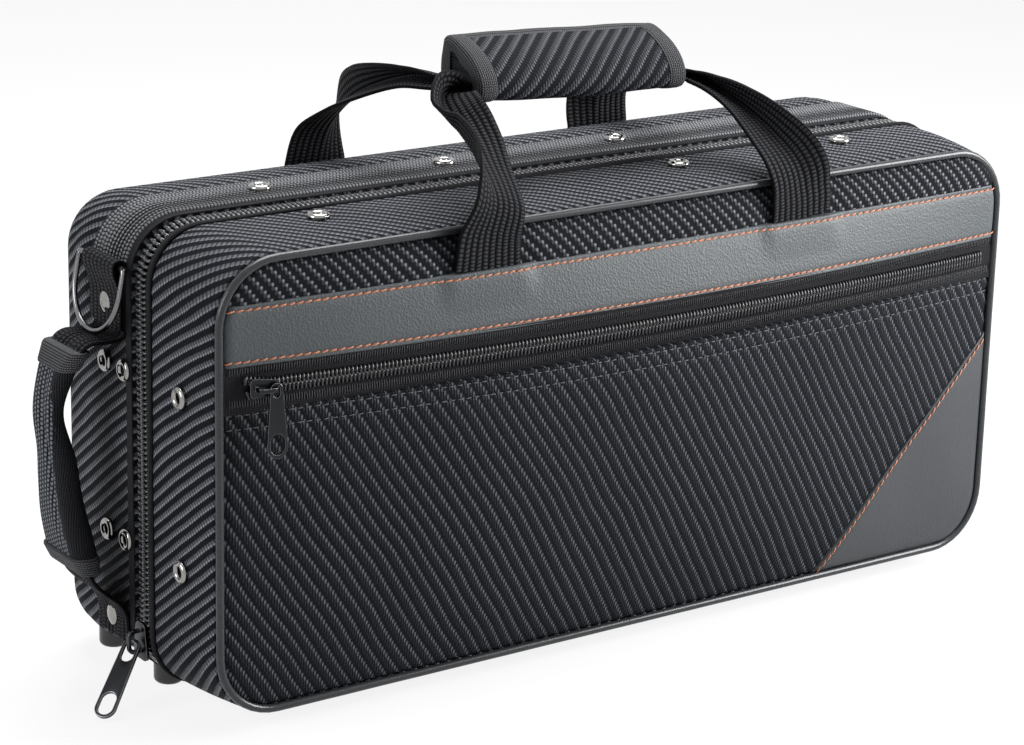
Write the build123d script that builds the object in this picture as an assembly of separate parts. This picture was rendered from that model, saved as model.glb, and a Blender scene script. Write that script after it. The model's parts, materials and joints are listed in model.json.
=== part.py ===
"""Soft-sided zipped instrument case: two padded shells hinged along the bottom, with straps and hardware."""

import os
from math import acos, asin, cos, degrees, radians, sin

from build123d import *

# Driving dimensions, in millimetres
# X runs along the case, Y from the parting plane towards the back, Z up from the shells' underside

# The two shells
case_length = 488
case_height = 230
lid_depth = 66
base_depth = 90
lid_draw_in = 2
rim_corner_radius = 28
front_corner_radius = 33
back_edge_radius = 24
wall = 7
parting_gap = 0.6
cut_overrun = 5

# The zip that joins the shells, lying in a rebate round both rims
rebate_depth = 4.2
rebate_width = 8
tape_thickness = 0.9
chain_width = 10
chain_inset = 0.3
chain_gap = 0.3
zip_turn_in = 22

# The cloth hinge under the parting line
hinge_strip_inset = 32
hinge_strip_width = 26
hinge_strip_thickness = 1.2

# The feet
foot_diameter = 15
foot_height = 7
foot_shank = 6
foot_edge_radius = 2.5
foot_rivet_hole = 5
foot_rivet_depth = 2
foot_inset = 20
front_foot_y = 11
rear_foot_y = 68

# The padded front of the lid, its edge cord and the flat pocket on it
piping_diameter = 4
panel_edge = 2
trim_margin = 1
pocket_bulge = 20
strip_drop = 27
strip_height = 25
strip_thickness = 1.2
pocket_mouth = 22
patch_length = 119
patch_height = 122
patch_bow = 5
patch_thickness = 0.8

# The pocket's zip, bowed with the pocket
pocket_zip_bow = 15
pocket_zip_edge = 2.5
pocket_chain_width = 6.4
pocket_chain_height = 2.4
pocket_chain_start = 10

# Webbing and the rings it holds
webbing_width = 38
webbing_thickness = 1.6
band_start = 8.5
tab_length = 30.5
tab_plies = 2
ring_wire = 4
ring_inside_width = 40
ring_depth = 36
ring_drop = 23
ring_corner_radius = 2.8
ring_tilt = 10
ring_clearance = 0.1

# Rivets
tubular_diameter = 11.2
tubular_height = 2.8
tubular_hole = 4.8
tubular_rim = 0.7
cap_diameter = 10
cap_height = 1.8
cap_rim = 0.5
top_rivet_inner_x = 54
top_rivet_outer_x = 162
top_rivet_front_y = 27
end_rivet_front_y = 38
end_rivet_near_y = 14
end_rivet_far_y = 33
end_rivet_drop = 74
end_rivet_low_z = 70
tab_rivet_drop = 20
anchor_rivet_z = 27

# The two carrying straps and their wrap
strap_thickness = 2
front_strap_spacing = 194
back_strap_spacing = 182
strap_fold_drop = 24
strap_tab_length = 24
strap_fold_gap = 0.3
strap_first_rise = 58
strap_last_run = 27
strap_course_steps = 8
grip_rise = 54
grip_bar_width = 16
grip_bar_thickness = 5
grip_bar_offset = 9
wrap_length = 145
wrap_depth = 46
wrap_height = 38
wrap_corner_radius = 15
wrap_clearance = 0.3
wrap_binding_width = 8
wrap_binding_thickness = 0.8

# The handle on the end
end_strap_gap = 0.5
end_strap_sewn_length = 12
end_strap_leave_bottom = 46
end_strap_bottom = 17
end_grip_drop = 4
end_grip_length = 86
end_grip_reach = 27
end_grip_end_reach = 25
end_grip_thickness = 15
end_grip_end_thickness = 10
end_grip_width = 43
end_grip_binding = 7
end_grip_binding_thickness = 0.7
end_strap_top_radius = 6
end_strap_bottom_radius = 14

# The rims' slider and its pull
slider_length = 19
slider_width = 13
slider_mouth_radius = 3
slider_plate = 1.6
slider_clearance = 0.4
slider_flange = 1.2
slider_flange_depth = 2.6
slider_height = 22.5
bail_length = 12.5
bail_height = 7
bail_width = 1.8
bail_bar = 1.8
pull_length = 43
pull_eye_radius = 4.8
pull_end_radius = 5.6
pull_thickness = 1.8
pull_rim = 1.7
pull_eye_length = 11
pull_slot_length = 12
pull_turn = 33
pull_shift = 1.4

# The pocket's slider and its pull
pocket_slider_length = 15
pocket_slider_width = 9.4
pocket_slider_mouth_radius = 2
pocket_slider_plate = 1.2
pocket_slider_flange = 1
pocket_slider_flange_depth = 1.6
pocket_slider_inset = 19
pocket_bail_length = 10
pocket_bail_height = 5.6
pocket_bail_width = 2
pocket_bail_bar = 1.2
pocket_pull_length = 29
pocket_pull_eye_radius = 3
pocket_pull_end_radius = 4.6
pocket_pull_thickness = 1.4
pocket_pull_rim = 1.3
pocket_pull_eye_length = 5.6
pocket_pull_slot_length = 8
pocket_pull_gap = 0.3

# The fitted inside
fit_clearance = 0.2
insert_face = 1.5
insert_floor = 12
cavity_rim_radius = 3
insert_border = 28
insert_bottom_border = 27
body_trough_height = 94
bell_well_length = 178
well_corner_radius = 30
neck_bin_length = 132
bin_corner_radius = 12
bin_gap = 14
bell_bin_gap = 18
reed_bin_length = 34
lid_pad_thickness = 12
lid_pad_edge_radius = 5

# Values worked out from the driving dimensions
half_length = case_length / 2
middle_height = case_height / 2
half_gap = parting_gap / 2
lid_front_length = case_length - 2 * lid_draw_in
lid_front_height = case_height - 2 * lid_draw_in
hinge_strip_length = case_length - 2 * hinge_strip_inset
strip_top = case_height - strip_drop
strip_bottom = strip_top - strip_height
pocket_top = strip_bottom - pocket_mouth
pocket_zip_line = (strip_bottom + pocket_top) / 2
ring_bar_height = case_height - ring_drop
tab_end = ring_bar_height - tab_length
end_rivet_high_z = case_height - end_rivet_drop
tab_rivet_z = ring_bar_height - tab_rivet_drop
strap_fold_height = case_height - strap_fold_drop
grip_height = case_height + grip_rise
end_strap_top = tab_end - end_strap_gap
end_strap_leave_top = end_strap_top - end_strap_sewn_length
end_grip_top = end_strap_leave_top - end_grip_drop
end_grip_bottom = end_grip_top - end_grip_length
wrap_slot_width = 2 * grip_bar_offset + grip_bar_width + 2 * wrap_clearance
wrap_slot_height = grip_bar_thickness + 2 * wrap_clearance
band_middle = band_start + webbing_width / 2
tab_thickness = tab_plies * webbing_thickness
loop_hole = ring_wire / 2 + ring_clearance
loop_radius = loop_hole + webbing_thickness
ring_bar_x = half_length + loop_radius
piping_axis_y = -lid_depth - piping_diameter / 2
dome_half_length = lid_front_length / 2 - piping_diameter
dome_bottom = lid_draw_in + piping_diameter
dome_top = case_height - dome_bottom
dome_corner_radius = front_corner_radius - piping_diameter
pocket_zip_radius = (dome_half_length**2 + pocket_zip_bow**2) / (2 * pocket_zip_bow)
pocket_zip_crown = -(lid_depth + pocket_zip_edge + pocket_zip_bow)
pocket_zip_centre = pocket_zip_crown + pocket_zip_radius
pocket_slider_start = dome_half_length - pocket_slider_inset
pocket_slider_swing = degrees(asin(pocket_slider_start / pocket_zip_radius))
slider_rest_x = half_length - chain_inset
insert_side = half_length - insert_border
body_trough_high = insert_bottom_border + body_trough_height
bin_low = body_trough_high + bell_bin_gap
bin_high = case_height - insert_bottom_border
reed_bin_left = insert_side - reed_bin_length
neck_bin_left = -insert_side + bell_well_length + bell_bin_gap
neck_bin_right = neck_bin_left + neck_bin_length

# How the lid's front swells: shares of the height below the pocket's mouth, and of the full bulge
pocket_height_shares = (0.28, 0.7)
bulge_shares = (0, 0.55, 0.97, 0.95, 0.68, 0.34, 0)
dome_length_shares = (-1, -0.67, -0.33, 0, 0.33, 0.67, 1)


def span(x_limits, y_limits, z_limits):
    """Block between three pairs of planes, used to cut other forms to length."""
    size = [high - low for low, high in (x_limits, y_limits, z_limits)]
    middle = [(high + low) / 2 for low, high in (x_limits, y_limits, z_limits)]
    return Pos(*middle) * Box(*size)


def upright_section(y, length, height, radius):
    """Rounded rectangle standing across Y, centred on the shells."""
    plane = Plane(origin=(0, y, middle_height), x_dir=(1, 0, 0), z_dir=(0, -1, 0))
    return plane * RectangleRounded(length, height, radius)


def lid_form(grow):
    """The lid's outside, tapering to its front, grown or shrunk evenly."""
    rim = upright_section(0, case_length + 2 * grow, case_height + 2 * grow, rim_corner_radius + grow)
    front = upright_section(
        -lid_depth, lid_front_length + 2 * grow, lid_front_height + 2 * grow, front_corner_radius + grow
    )
    return loft([rim.face(), front.face()], ruled=True)


def base_form(grow):
    """The base's outside with its rounded back edges, grown or shrunk evenly."""
    rim = upright_section(0, case_length + 2 * grow, case_height + 2 * grow, rim_corner_radius + grow)
    block = extrude(rim, -(base_depth + grow))
    back_edges = block.faces().sort_by(Axis.Y)[-1].edges()
    return fillet(back_edges, back_edge_radius + grow)


wide = (-case_length, case_length)
tall = (-case_height, 2 * case_height)


def slice_y(low, high):
    """Everything between two planes across Y."""
    return span(wide, (low, high), tall)


def without_bottom(shape):
    """Keeps a ring round the rim except along the bottom, where the cloth hinge is."""
    straight = half_length - zip_turn_in
    return shape - span((-straight, straight), (-base_depth, base_depth), (-rim_corner_radius, rim_corner_radius))


def base_shell():
    """Hollow base, open at the parting plane, with a rebate for the zip."""
    hollow = base_form(0) - base_form(-wall)
    ring = (base_form(cut_overrun) - base_form(-rebate_depth)) & slice_y(-cut_overrun, rebate_width)
    return (hollow & slice_y(half_gap, base_depth + cut_overrun)) - without_bottom(ring)


def lid_shell():
    """Hollow lid, open at the parting plane, with a rebate for the zip."""
    inside = lid_form(-wall) & slice_y(-(lid_depth - wall), cut_overrun)
    ring = (lid_form(cut_overrun) - lid_form(-rebate_depth)) & slice_y(-rebate_width, cut_overrun)
    return ((lid_form(0) - inside) & slice_y(-lid_depth - cut_overrun, -half_gap)) - without_bottom(ring)


def zip_ring(form, side, inner, outer, near, far):
    """One side's tape or teeth: a ring in the rebate between two depths and two distances from the middle."""
    low, high = sorted((side * near, side * far))
    return without_bottom((form(-outer) - form(-inner)) & slice_y(low, high))


def zip_tape(form, side):
    return zip_ring(form, side, rebate_depth, rebate_depth - tape_thickness, half_gap, rebate_width)


def zip_coil(form, side):
    return zip_ring(form, side, rebate_depth - tape_thickness, chain_inset, chain_gap / 2, chain_width / 2)


def hinge_strip():
    """Cloth strip sewn under both shells, on which the lid turns."""
    plane = Plane.XY.offset(-hinge_strip_thickness)
    return extrude(plane * Rectangle(hinge_strip_length, hinge_strip_width), hinge_strip_thickness)


def foot(x, y):
    """Moulded stud foot, shaped to the shell's corner above it."""
    radius = foot_diameter / 2
    stud = Pos(x, y, -foot_height) * Cylinder(
        radius, foot_height + foot_shank, align=(Align.CENTER, Align.CENTER, Align.MIN)
    )
    stud = fillet(stud.edges().sort_by(Axis.Z)[0], foot_edge_radius)
    rivet = Pos(x, y, -foot_height) * Cylinder(
        foot_rivet_hole / 2, foot_rivet_depth, align=(Align.CENTER, Align.CENTER, Align.MIN)
    )
    return stud - rivet - base_form(0)


def feet():
    x = half_length - foot_inset
    return [foot(side * x, y) for side in (-1, 1) for y in (front_foot_y, rear_foot_y)]


def piping():
    """Round edge cord laid round the lid's front."""
    outline = upright_section(
        piping_axis_y,
        lid_front_length - piping_diameter,
        lid_front_height - piping_diameter,
        front_corner_radius - piping_diameter / 2,
    )
    path = outline.wire()
    start = Plane(origin=path @ 0, z_dir=path % 0)
    return sweep(start * Circle(piping_diameter / 2), path)


def dome_heights():
    """The heights at which the front's swell is set."""
    low = [dome_bottom + share * (pocket_top - dome_bottom) for share in pocket_height_shares]
    return [dome_bottom, *low, pocket_top, strip_bottom, strip_top, dome_top]


def swell_along(x):
    """How much of the swell is left at a place along the case."""
    return 1 - (x / dome_half_length) ** 2


def front_depth(x, bulge_share):
    """Distance of the padded front from the parting plane."""
    return lid_depth + panel_edge + pocket_bulge * bulge_share * swell_along(x)


def padded_front(raise_by):
    """The lid's padded front as one pillow, to be cut into its panels."""
    faces = []
    inside = -lid_depth + trim_margin
    heights = dome_heights()
    heights[0] -= trim_margin
    heights[-1] += trim_margin
    for length_share in dome_length_shares:
        x = length_share * (dome_half_length + trim_margin)
        plane = Plane(origin=(x, 0, 0), x_dir=(0, 1, 0), z_dir=(1, 0, 0))
        points = [(-front_depth(x, share) - raise_by, height) for height, share in zip(heights, bulge_shares)]
        outer = Spline(*points)
        low = Line((inside, heights[0]), points[0])
        high = Line(points[-1], (inside, heights[-1]))
        back = Line((inside, heights[-1]), (inside, heights[0]))
        faces.append((plane * make_face([low, outer, high, back])).face())
    pillow = loft(faces)
    outline = upright_section(-lid_depth, 2 * dome_half_length, dome_top - dome_bottom, dome_corner_radius)
    return pillow & extrude(outline, lid_depth)


def height_band(shape, low, high):
    return shape & span(wide, (-2 * lid_depth, 0), (low, high))


def patch_outline():
    """Corner area of the front beyond a gently bowed line from its right side to its bottom."""
    right = dome_half_length + cut_overrun
    bottom = dome_bottom - cut_overrun
    top = dome_bottom + patch_height
    left = dome_half_length - patch_length
    slope = patch_height / patch_length
    middle = ((right + left) / 2 - patch_bow, (top + bottom) / 2 + patch_bow * slope)
    bow = ThreePointArc((right, top), middle, (left, bottom))
    sides = [Line((left, bottom), (right, bottom)), Line((right, bottom), (right, top))]
    return extrude(Plane.XZ * make_face([bow, *sides]), 2 * lid_depth)


def zip_arc(rise, half_span, low, high):
    """Face between the lid's flat front and an arc that follows the bowed pocket zip."""
    radius = pocket_zip_radius + rise
    reach = asin(half_span / radius)
    ends = [(side * half_span, pocket_zip_centre - radius * cos(reach)) for side in (-1, 1)]
    crown = (0, pocket_zip_centre - radius)
    flat = [(half_span, -lid_depth), (-half_span, -lid_depth)]
    outline = [ThreePointArc(ends[0], crown, ends[1]), Line(ends[1], flat[0]), Line(*flat), Line(flat[1], ends[0])]
    return extrude(Plane.XY.offset(low) * make_face(outline), high - low)


def pocket_tape():
    return zip_arc(0, dome_half_length, pocket_top, strip_bottom)


def pocket_coil():
    half = pocket_chain_width / 2
    half_span = dome_half_length - pocket_chain_start
    low, high = pocket_zip_line - half, pocket_zip_line + half
    return zip_arc(pocket_chain_height, half_span, low, high) - zip_arc(0, dome_half_length, low, high)


def band():
    """Webbing band beside the zip, over the top and down both ends to the rings."""
    skin = (base_form(webbing_thickness) - base_form(0)) & slice_y(band_start, band_start + webbing_width)
    return skin & span(wide, (0, base_depth), (ring_bar_height + loop_radius, 2 * case_height))


def ring_tab():
    """Folded end of the band, looped round the ring's straight bar on the left end."""
    low = -(half_length + tab_thickness)
    y_limits = (band_start, band_start + webbing_width)
    plates = span((low, -half_length), y_limits, (tab_end, ring_bar_height))
    bar = Pos(-ring_bar_x, band_middle, ring_bar_height) * Rot(90, 0, 0)
    loop = bar * Cylinder(loop_radius, webbing_width)
    return plates + loop - bar * Cylinder(loop_hole, webbing_width + cut_overrun)


def ring():
    """D-shaped wire ring on the left end, leaning a little off the tab behind it."""
    half = (ring_inside_width + ring_wire) / 2
    bottom = -(ring_depth + ring_wire / 2)
    bend = half - fit_clearance
    corners = [(half, 0), (half, bottom), (-half, bottom), (-half, 0)]
    outline = FilletPolyline(*corners, radius=[ring_corner_radius, bend, bend, ring_corner_radius], close=True)
    path = Plane.YZ * outline.wire()
    start = Plane(origin=path @ 0, z_dir=path % 0)
    wire = sweep(start * Circle(ring_wire / 2), path)
    return Pos(-ring_bar_x, band_middle, ring_bar_height) * Rot(0, ring_tilt, 0) * wire


def at_both_ends(shape):
    """A left-end piece and its mirror image on the right end."""
    return [shape, mirror(shape, about=Plane.YZ)]


def tubular_rivet():
    """Hollow rivet's rolled head, standing on the XY plane."""
    hole, rim = tubular_hole / 2, tubular_diameter / 2
    crown = ((hole + rim) / 2, tubular_height)
    outline = [
        Line((hole, 0), (rim, 0)),
        Line((rim, 0), (rim, tubular_rim)),
        ThreePointArc((rim, tubular_rim), crown, (hole, tubular_rim)),
        Line((hole, tubular_rim), (hole, 0)),
    ]
    return revolve(Plane.XZ * make_face(outline), Axis.Z)


def cap_rivet():
    """Solid rivet's low domed head, standing on the XY plane."""
    rim = cap_diameter / 2
    rise = cap_height - cap_rim
    radius = (rim**2 + rise**2) / (2 * rise)
    half_turn = asin(rim / radius) / 2
    crown = (radius * sin(half_turn), cap_height - radius + radius * cos(half_turn))
    outline = [
        Line((0, 0), (rim, 0)),
        Line((rim, 0), (rim, cap_rim)),
        ThreePointArc((rim, cap_rim), crown, (0, cap_height)),
        Line((0, cap_height), (0, 0)),
    ]
    return revolve(Plane.XZ * make_face(outline), Axis.Z)


def on_left_end(y, z, off):
    """Places a rivet on the left end, a distance off the rim's widest line."""
    return Pos(-(half_length + off), y, z) * Rot(0, -90, 0)


def top_rivets(y, height):
    places = [side * x for x in (top_rivet_inner_x, top_rivet_outer_x) for side in (-1, 1)]
    return [Pos(x, y, height) * tubular_rivet() for x in places]


def lid_taper(y, at_rim, at_front):
    """Half size of the lid at a depth, between its rim and its front."""
    return (at_rim - (at_rim - at_front) * y / lid_depth) / 2


def lid_end_rivets():
    off = lid_taper(end_rivet_front_y - tubular_diameter / 2, case_length, lid_front_length) - half_length
    left = [on_left_end(-end_rivet_front_y, z, off) * tubular_rivet() for z in (end_rivet_low_z, end_rivet_high_z)]
    return [rivet for single in left for rivet in at_both_ends(single)]


def base_end_rivets():
    places = [(y, z) for y in (end_rivet_near_y, end_rivet_far_y) for z in (end_rivet_low_z, end_rivet_high_z)]
    left = [on_left_end(y, z, 0) * tubular_rivet() for y, z in places]
    return [rivet for single in left for rivet in at_both_ends(single)]


def tab_rivets():
    """Domed rivets through both ring tabs and through the end handle's lower strap."""
    tab = on_left_end(band_middle, tab_rivet_z, tab_thickness) * cap_rivet()
    anchor = on_left_end(band_middle, anchor_rivet_z, strap_thickness) * cap_rivet()
    return [*at_both_ends(tab), anchor]


def strap_section(share, corners, side):
    """Section across one strap leg at a share of its course from the fold to the wrap's mouth."""
    left = 1 - share
    weights = (left**3, 3 * left**2 * share, 3 * left * share**2, share**3)
    place = sum((corner * weight for corner, weight in zip(corners, weights)), Vector(0, 0, 0))
    steps = [after - before for before, after in zip(corners, corners[1:])]
    course = steps[0] * left**2 + steps[1] * (2 * left * share) + steps[2] * share**2
    turned = radians(90 * share**2 * (3 - 2 * share))
    facing = Vector(0, side * cos(turned), sin(turned))
    width = webbing_width + (grip_bar_width - webbing_width) * share
    thickness = strap_thickness + (grip_bar_thickness - strap_thickness) * share
    plane = Plane(origin=place, x_dir=facing.cross(course), z_dir=course)
    return (plane * Rectangle(width, thickness)).face()


def strap(spacing, face_y, side):
    """One carrying strap: two webbing legs that lean in, turn and gather into the bar inside the wrap."""
    stand_off = side * (strap_thickness / 2 + strap_fold_gap)
    start = Vector(-spacing / 2, face_y + stand_off, strap_fold_height + strap_fold_gap)
    mouth = Vector(-wrap_length / 2, side * grip_bar_offset, grip_height)
    corners = [start, start + Vector(0, 0, strap_first_rise), mouth - Vector(strap_last_run, 0, 0), mouth]
    leg = loft([strap_section(step / strap_course_steps, corners, side) for step in range(strap_course_steps + 1)])
    half_bar = span(
        (-wrap_length / 2, 0),
        (side * grip_bar_offset - grip_bar_width / 2, side * grip_bar_offset + grip_bar_width / 2),
        (grip_height - grip_bar_thickness / 2, grip_height + grip_bar_thickness / 2),
    )
    half = leg + half_bar
    return half + mirror(half, about=Plane.YZ)


def front_strap_face():
    """Where the front strap's sewn ends lie, just proud of the padded front at the strip's top edge."""
    return -front_depth(front_strap_spacing / 2 - webbing_width / 2, bulge_shares[5])


def strap_tabs(spacing, face_y, side):
    """Sewn ends of one carrying strap, below the line where it folds."""
    y_limits = sorted((face_y, face_y + side * strap_thickness))
    z_limits = (strap_fold_height - strap_tab_length, strap_fold_height)
    half = webbing_width / 2
    return [span((x - half, x + half), y_limits, z_limits) for x in (-spacing / 2, spacing / 2)]


def wrap_section(grow):
    plane = Plane(origin=(0, 0, grip_height), x_dir=(0, 1, 0), z_dir=(1, 0, 0))
    outline = RectangleRounded(wrap_depth + 2 * grow, wrap_height + 2 * grow, wrap_corner_radius + grow)
    return plane * (outline - Rectangle(wrap_slot_width, wrap_slot_height))


def handle_wrap():
    """Padded sleeve closed round both straps' bars."""
    return extrude(wrap_section(0), wrap_length / 2, both=True)


def wrap_binding():
    """Webbing bound round the wrap's two ends."""
    band_ring = wrap_section(wrap_binding_thickness) - wrap_section(0)
    start = wrap_length / 2 - wrap_binding_width
    right = Pos(start, 0, 0) * extrude(band_ring, wrap_binding_width)
    return at_both_ends(right)


def end_strap():
    """Webbing of the left end's handle, riveted flat at its two ends and standing off between them."""
    wall_x = -(half_length + strap_thickness / 2)
    reach_x = -(half_length + end_grip_reach)
    points = [
        (wall_x, end_strap_top),
        (wall_x, end_strap_leave_top),
        (reach_x, end_strap_leave_top),
        (reach_x, end_strap_leave_bottom + end_grip_reach),
        (wall_x, end_strap_leave_bottom),
        (wall_x, end_strap_bottom),
    ]
    top, low = end_strap_top_radius, end_strap_bottom_radius
    course = Plane.XZ * FilletPolyline(*points, radius=[top, top, low, low])
    start = Plane(origin=(wall_x, 0, end_strap_top), x_dir=(0, 1, 0), z_dir=(0, 0, -1))
    ribbon = sweep(start * Rectangle(webbing_width, strap_thickness), Wire(course.edges()))
    return Pos(0, band_middle, 0) * ribbon


def end_grip_form(grow):
    """Padded grip, fuller at its middle than at its two ends."""
    sections = []
    middle = (end_grip_top + end_grip_bottom) / 2
    for z, reach, thickness in (
        (end_grip_bottom, end_grip_end_reach, end_grip_end_thickness),
        (middle, end_grip_reach, end_grip_thickness),
        (end_grip_top, end_grip_end_reach, end_grip_end_thickness),
    ):
        plane = Plane(origin=(-(half_length + reach), band_middle, z), x_dir=(1, 0, 0), z_dir=(0, 0, 1))
        depth = thickness + 2 * grow
        outline = RectangleRounded(depth, end_grip_width + 2 * grow, depth / 2 - fit_clearance)
        sections.append((plane * outline).face())
    return loft(sections)


def slider_plate_outline(length, width, mouth_radius):
    """Slider seen from outside: broad where the rows part, narrower where they are joined."""
    front = length / 2 - mouth_radius
    broad = width / 2 - mouth_radius
    circles = [Pos(-front, side * broad) * Circle(mouth_radius) for side in (-1, 1)]
    circles += [Pos(front, side * broad / 2) * Circle(mouth_radius) for side in (-1, 1)]
    return make_hull([edge for circle in circles for edge in circle.edges()])


def slider(length, width, mouth_radius, plate, flange, flange_depth, sides, bail):
    """Zip slider with X along the teeth, Z outwards and the teeth's outer face at Z 0."""
    outline = slider_plate_outline(length, width, mouth_radius)
    body = Pos(0, 0, slider_clearance) * extrude(outline, plate)
    rim = outline - Rectangle(length + cut_overrun, width - 2 * flange)
    lips = Pos(0, 0, -flange_depth) * extrude(rim, flange_depth + slider_clearance + plate)
    for lip in lips.solids():
        if lip.center().Y * sides >= 0:
            body += lip
    bail_length, bail_height, bail_width, bar = bail
    top = slider_clearance + plate
    arch = RectangleRounded(bail_length, 2 * bail_height, bail_height / 2)
    window = RectangleRounded(bail_length - 2 * bar, 2 * (bail_height - bar), bail_height / 2 - bar / 2)
    upper = Pos(0, bail_height / 2) * Rectangle(bail_length, bail_height)
    hoop = Plane.XZ * ((arch - window) & upper)
    return body + Pos(0, 0, top) * extrude(hoop, bail_width / 2, both=True)


def pull(length, eye_radius, end_radius, thickness, rim, eye_length, slot_length):
    """Pull tab hanging down from its eye's upper bar, whose middle is the origin, with its face across X."""
    circles = [Pos(0, -(eye_radius - rim / 2)) * Circle(eye_radius)]
    circles.append(Pos(0, -(length - end_radius)) * Circle(end_radius))
    plate = make_hull([edge for circle in circles for edge in circle.edges()])
    eye_width = 2 * (eye_radius - rim)
    eye = Pos(0, -(rim + eye_length) / 2) * Rot(0, 0, 90) * SlotOverall(eye_length, eye_width)
    slot_width = 2 * (end_radius - rim)
    slot = Pos(0, -(length - rim - slot_length / 2)) * Rot(0, 0, 90) * SlotOverall(slot_length, slot_width)
    return extrude(Plane.YZ * (plate - eye - slot), thickness / 2, both=True)


main_bail = (bail_length, bail_height, bail_width, bail_bar)
pocket_bail = (pocket_bail_length, pocket_bail_height, pocket_bail_width, pocket_bail_bar)
pull_pivot_off = slider_clearance + slider_plate + (bail_height - bail_bar) / 2
pull_pivot = (-(slider_rest_x + pull_pivot_off), pull_shift, slider_height)
pull_lean = degrees(acos((slider_height + foot_height - pull_thickness) / pull_length))
pocket_pivot_rise = slider_clearance + pocket_slider_plate + (pocket_bail_height - pocket_bail_bar) / 2
pocket_pull_crown = pocket_zip_crown - pocket_chain_height - pocket_pivot_rise
pocket_pull_pivot = ((pocket_bail_length - pocket_bail_bar) / 2, pocket_pull_crown, pocket_zip_line)


def main_slider():
    made = slider(
        slider_length, slider_width, slider_mouth_radius, slider_plate, slider_flange, slider_flange_depth, 1, main_bail
    )
    teeth = Plane(origin=(-slider_rest_x, 0, slider_height), x_dir=(0, 0, 1), z_dir=(-1, 0, 0))
    return teeth.location * made


def main_pull():
    tab = pull(
        pull_length, pull_eye_radius, pull_end_radius, pull_thickness, pull_rim, pull_eye_length, pull_slot_length
    )
    return Pos(*pull_pivot) * Rot(0, 0, pull_turn) * Rot(0, pull_lean, 0) * tab


def along_pocket_zip(shape):
    """Carries a piece from the middle of the bowed zip to its closed end."""
    centre = Pos(0, pocket_zip_centre, 0)
    return centre * Rot(0, 0, -pocket_slider_swing) * centre.inverse() * shape


def pocket_slider():
    made = slider(
        pocket_slider_length,
        pocket_slider_width,
        pocket_slider_mouth_radius,
        pocket_slider_plate,
        pocket_slider_flange,
        pocket_slider_flange_depth,
        0,
        pocket_bail,
    )
    origin = (0, pocket_zip_crown - pocket_chain_height, pocket_zip_line)
    teeth = Plane(origin=origin, x_dir=(1, 0, 0), z_dir=(0, -1, 0))
    return along_pocket_zip(teeth.location * made)


def pocket_pull():
    """Pull hung with its eye round the right leg of the slider's bail."""
    tab = pull(
        pocket_pull_length,
        pocket_pull_eye_radius,
        pocket_pull_end_radius,
        pocket_pull_thickness,
        pocket_pull_rim,
        pocket_pull_eye_length,
        pocket_pull_slot_length,
    )
    rise = (pocket_bail_width + pocket_pull_rim) / 2 + pocket_pull_gap
    return along_pocket_zip(Pos(*pocket_pull_pivot) * Pos(0, 0, rise) * Rot(0, 0, 90) * tab)


def well(left, right, low, high, radius):
    """Rounded recess in the insert, from its face down to its floor."""
    floor = base_depth - wall - insert_floor
    outline = Pos((left + right) / 2, (low + high) / 2) * RectangleRounded(right - left, high - low, radius)
    plane = Plane(origin=(0, insert_face, 0), x_dir=(1, 0, 0), z_dir=(0, -1, 0))
    return extrude(plane * outline, -(floor - insert_face))


def instrument_insert():
    """Plush-covered block in the base, cut out for the curved instrument, its neck and small things."""
    block = base_form(-(wall + fit_clearance)) & slice_y(insert_face, base_depth)
    body = well(-insert_side, reed_bin_left - bin_gap, insert_bottom_border, body_trough_high, well_corner_radius)
    bell = well(-insert_side, -insert_side + bell_well_length, insert_bottom_border, bin_high, well_corner_radius)
    neck = well(neck_bin_left, neck_bin_right, bin_low, bin_high, bin_corner_radius)
    swab = well(neck_bin_right + bin_gap, insert_side, bin_low, bin_high, bin_corner_radius)
    reeds = well(reed_bin_left, insert_side, insert_bottom_border, body_trough_high, bin_corner_radius)
    made = block - (body + bell) - neck - swab - reeds
    face = made.faces().sort_by(Axis.Y)[0]
    rims = [edge for wire in face.inner_wires() for edge in wire.edges()]
    return fillet(rims, cavity_rim_radius)


def lid_pad():
    """Padded lining on the inside of the lid's front."""
    deep = lid_depth - wall
    pad = lid_form(-(wall + fit_clearance)) & slice_y(-deep, -(deep - lid_pad_thickness))
    inner_edges = pad.faces().sort_by(Axis.Y)[-1].edges()
    return fillet(inner_edges, lid_pad_edge_radius)


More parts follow.
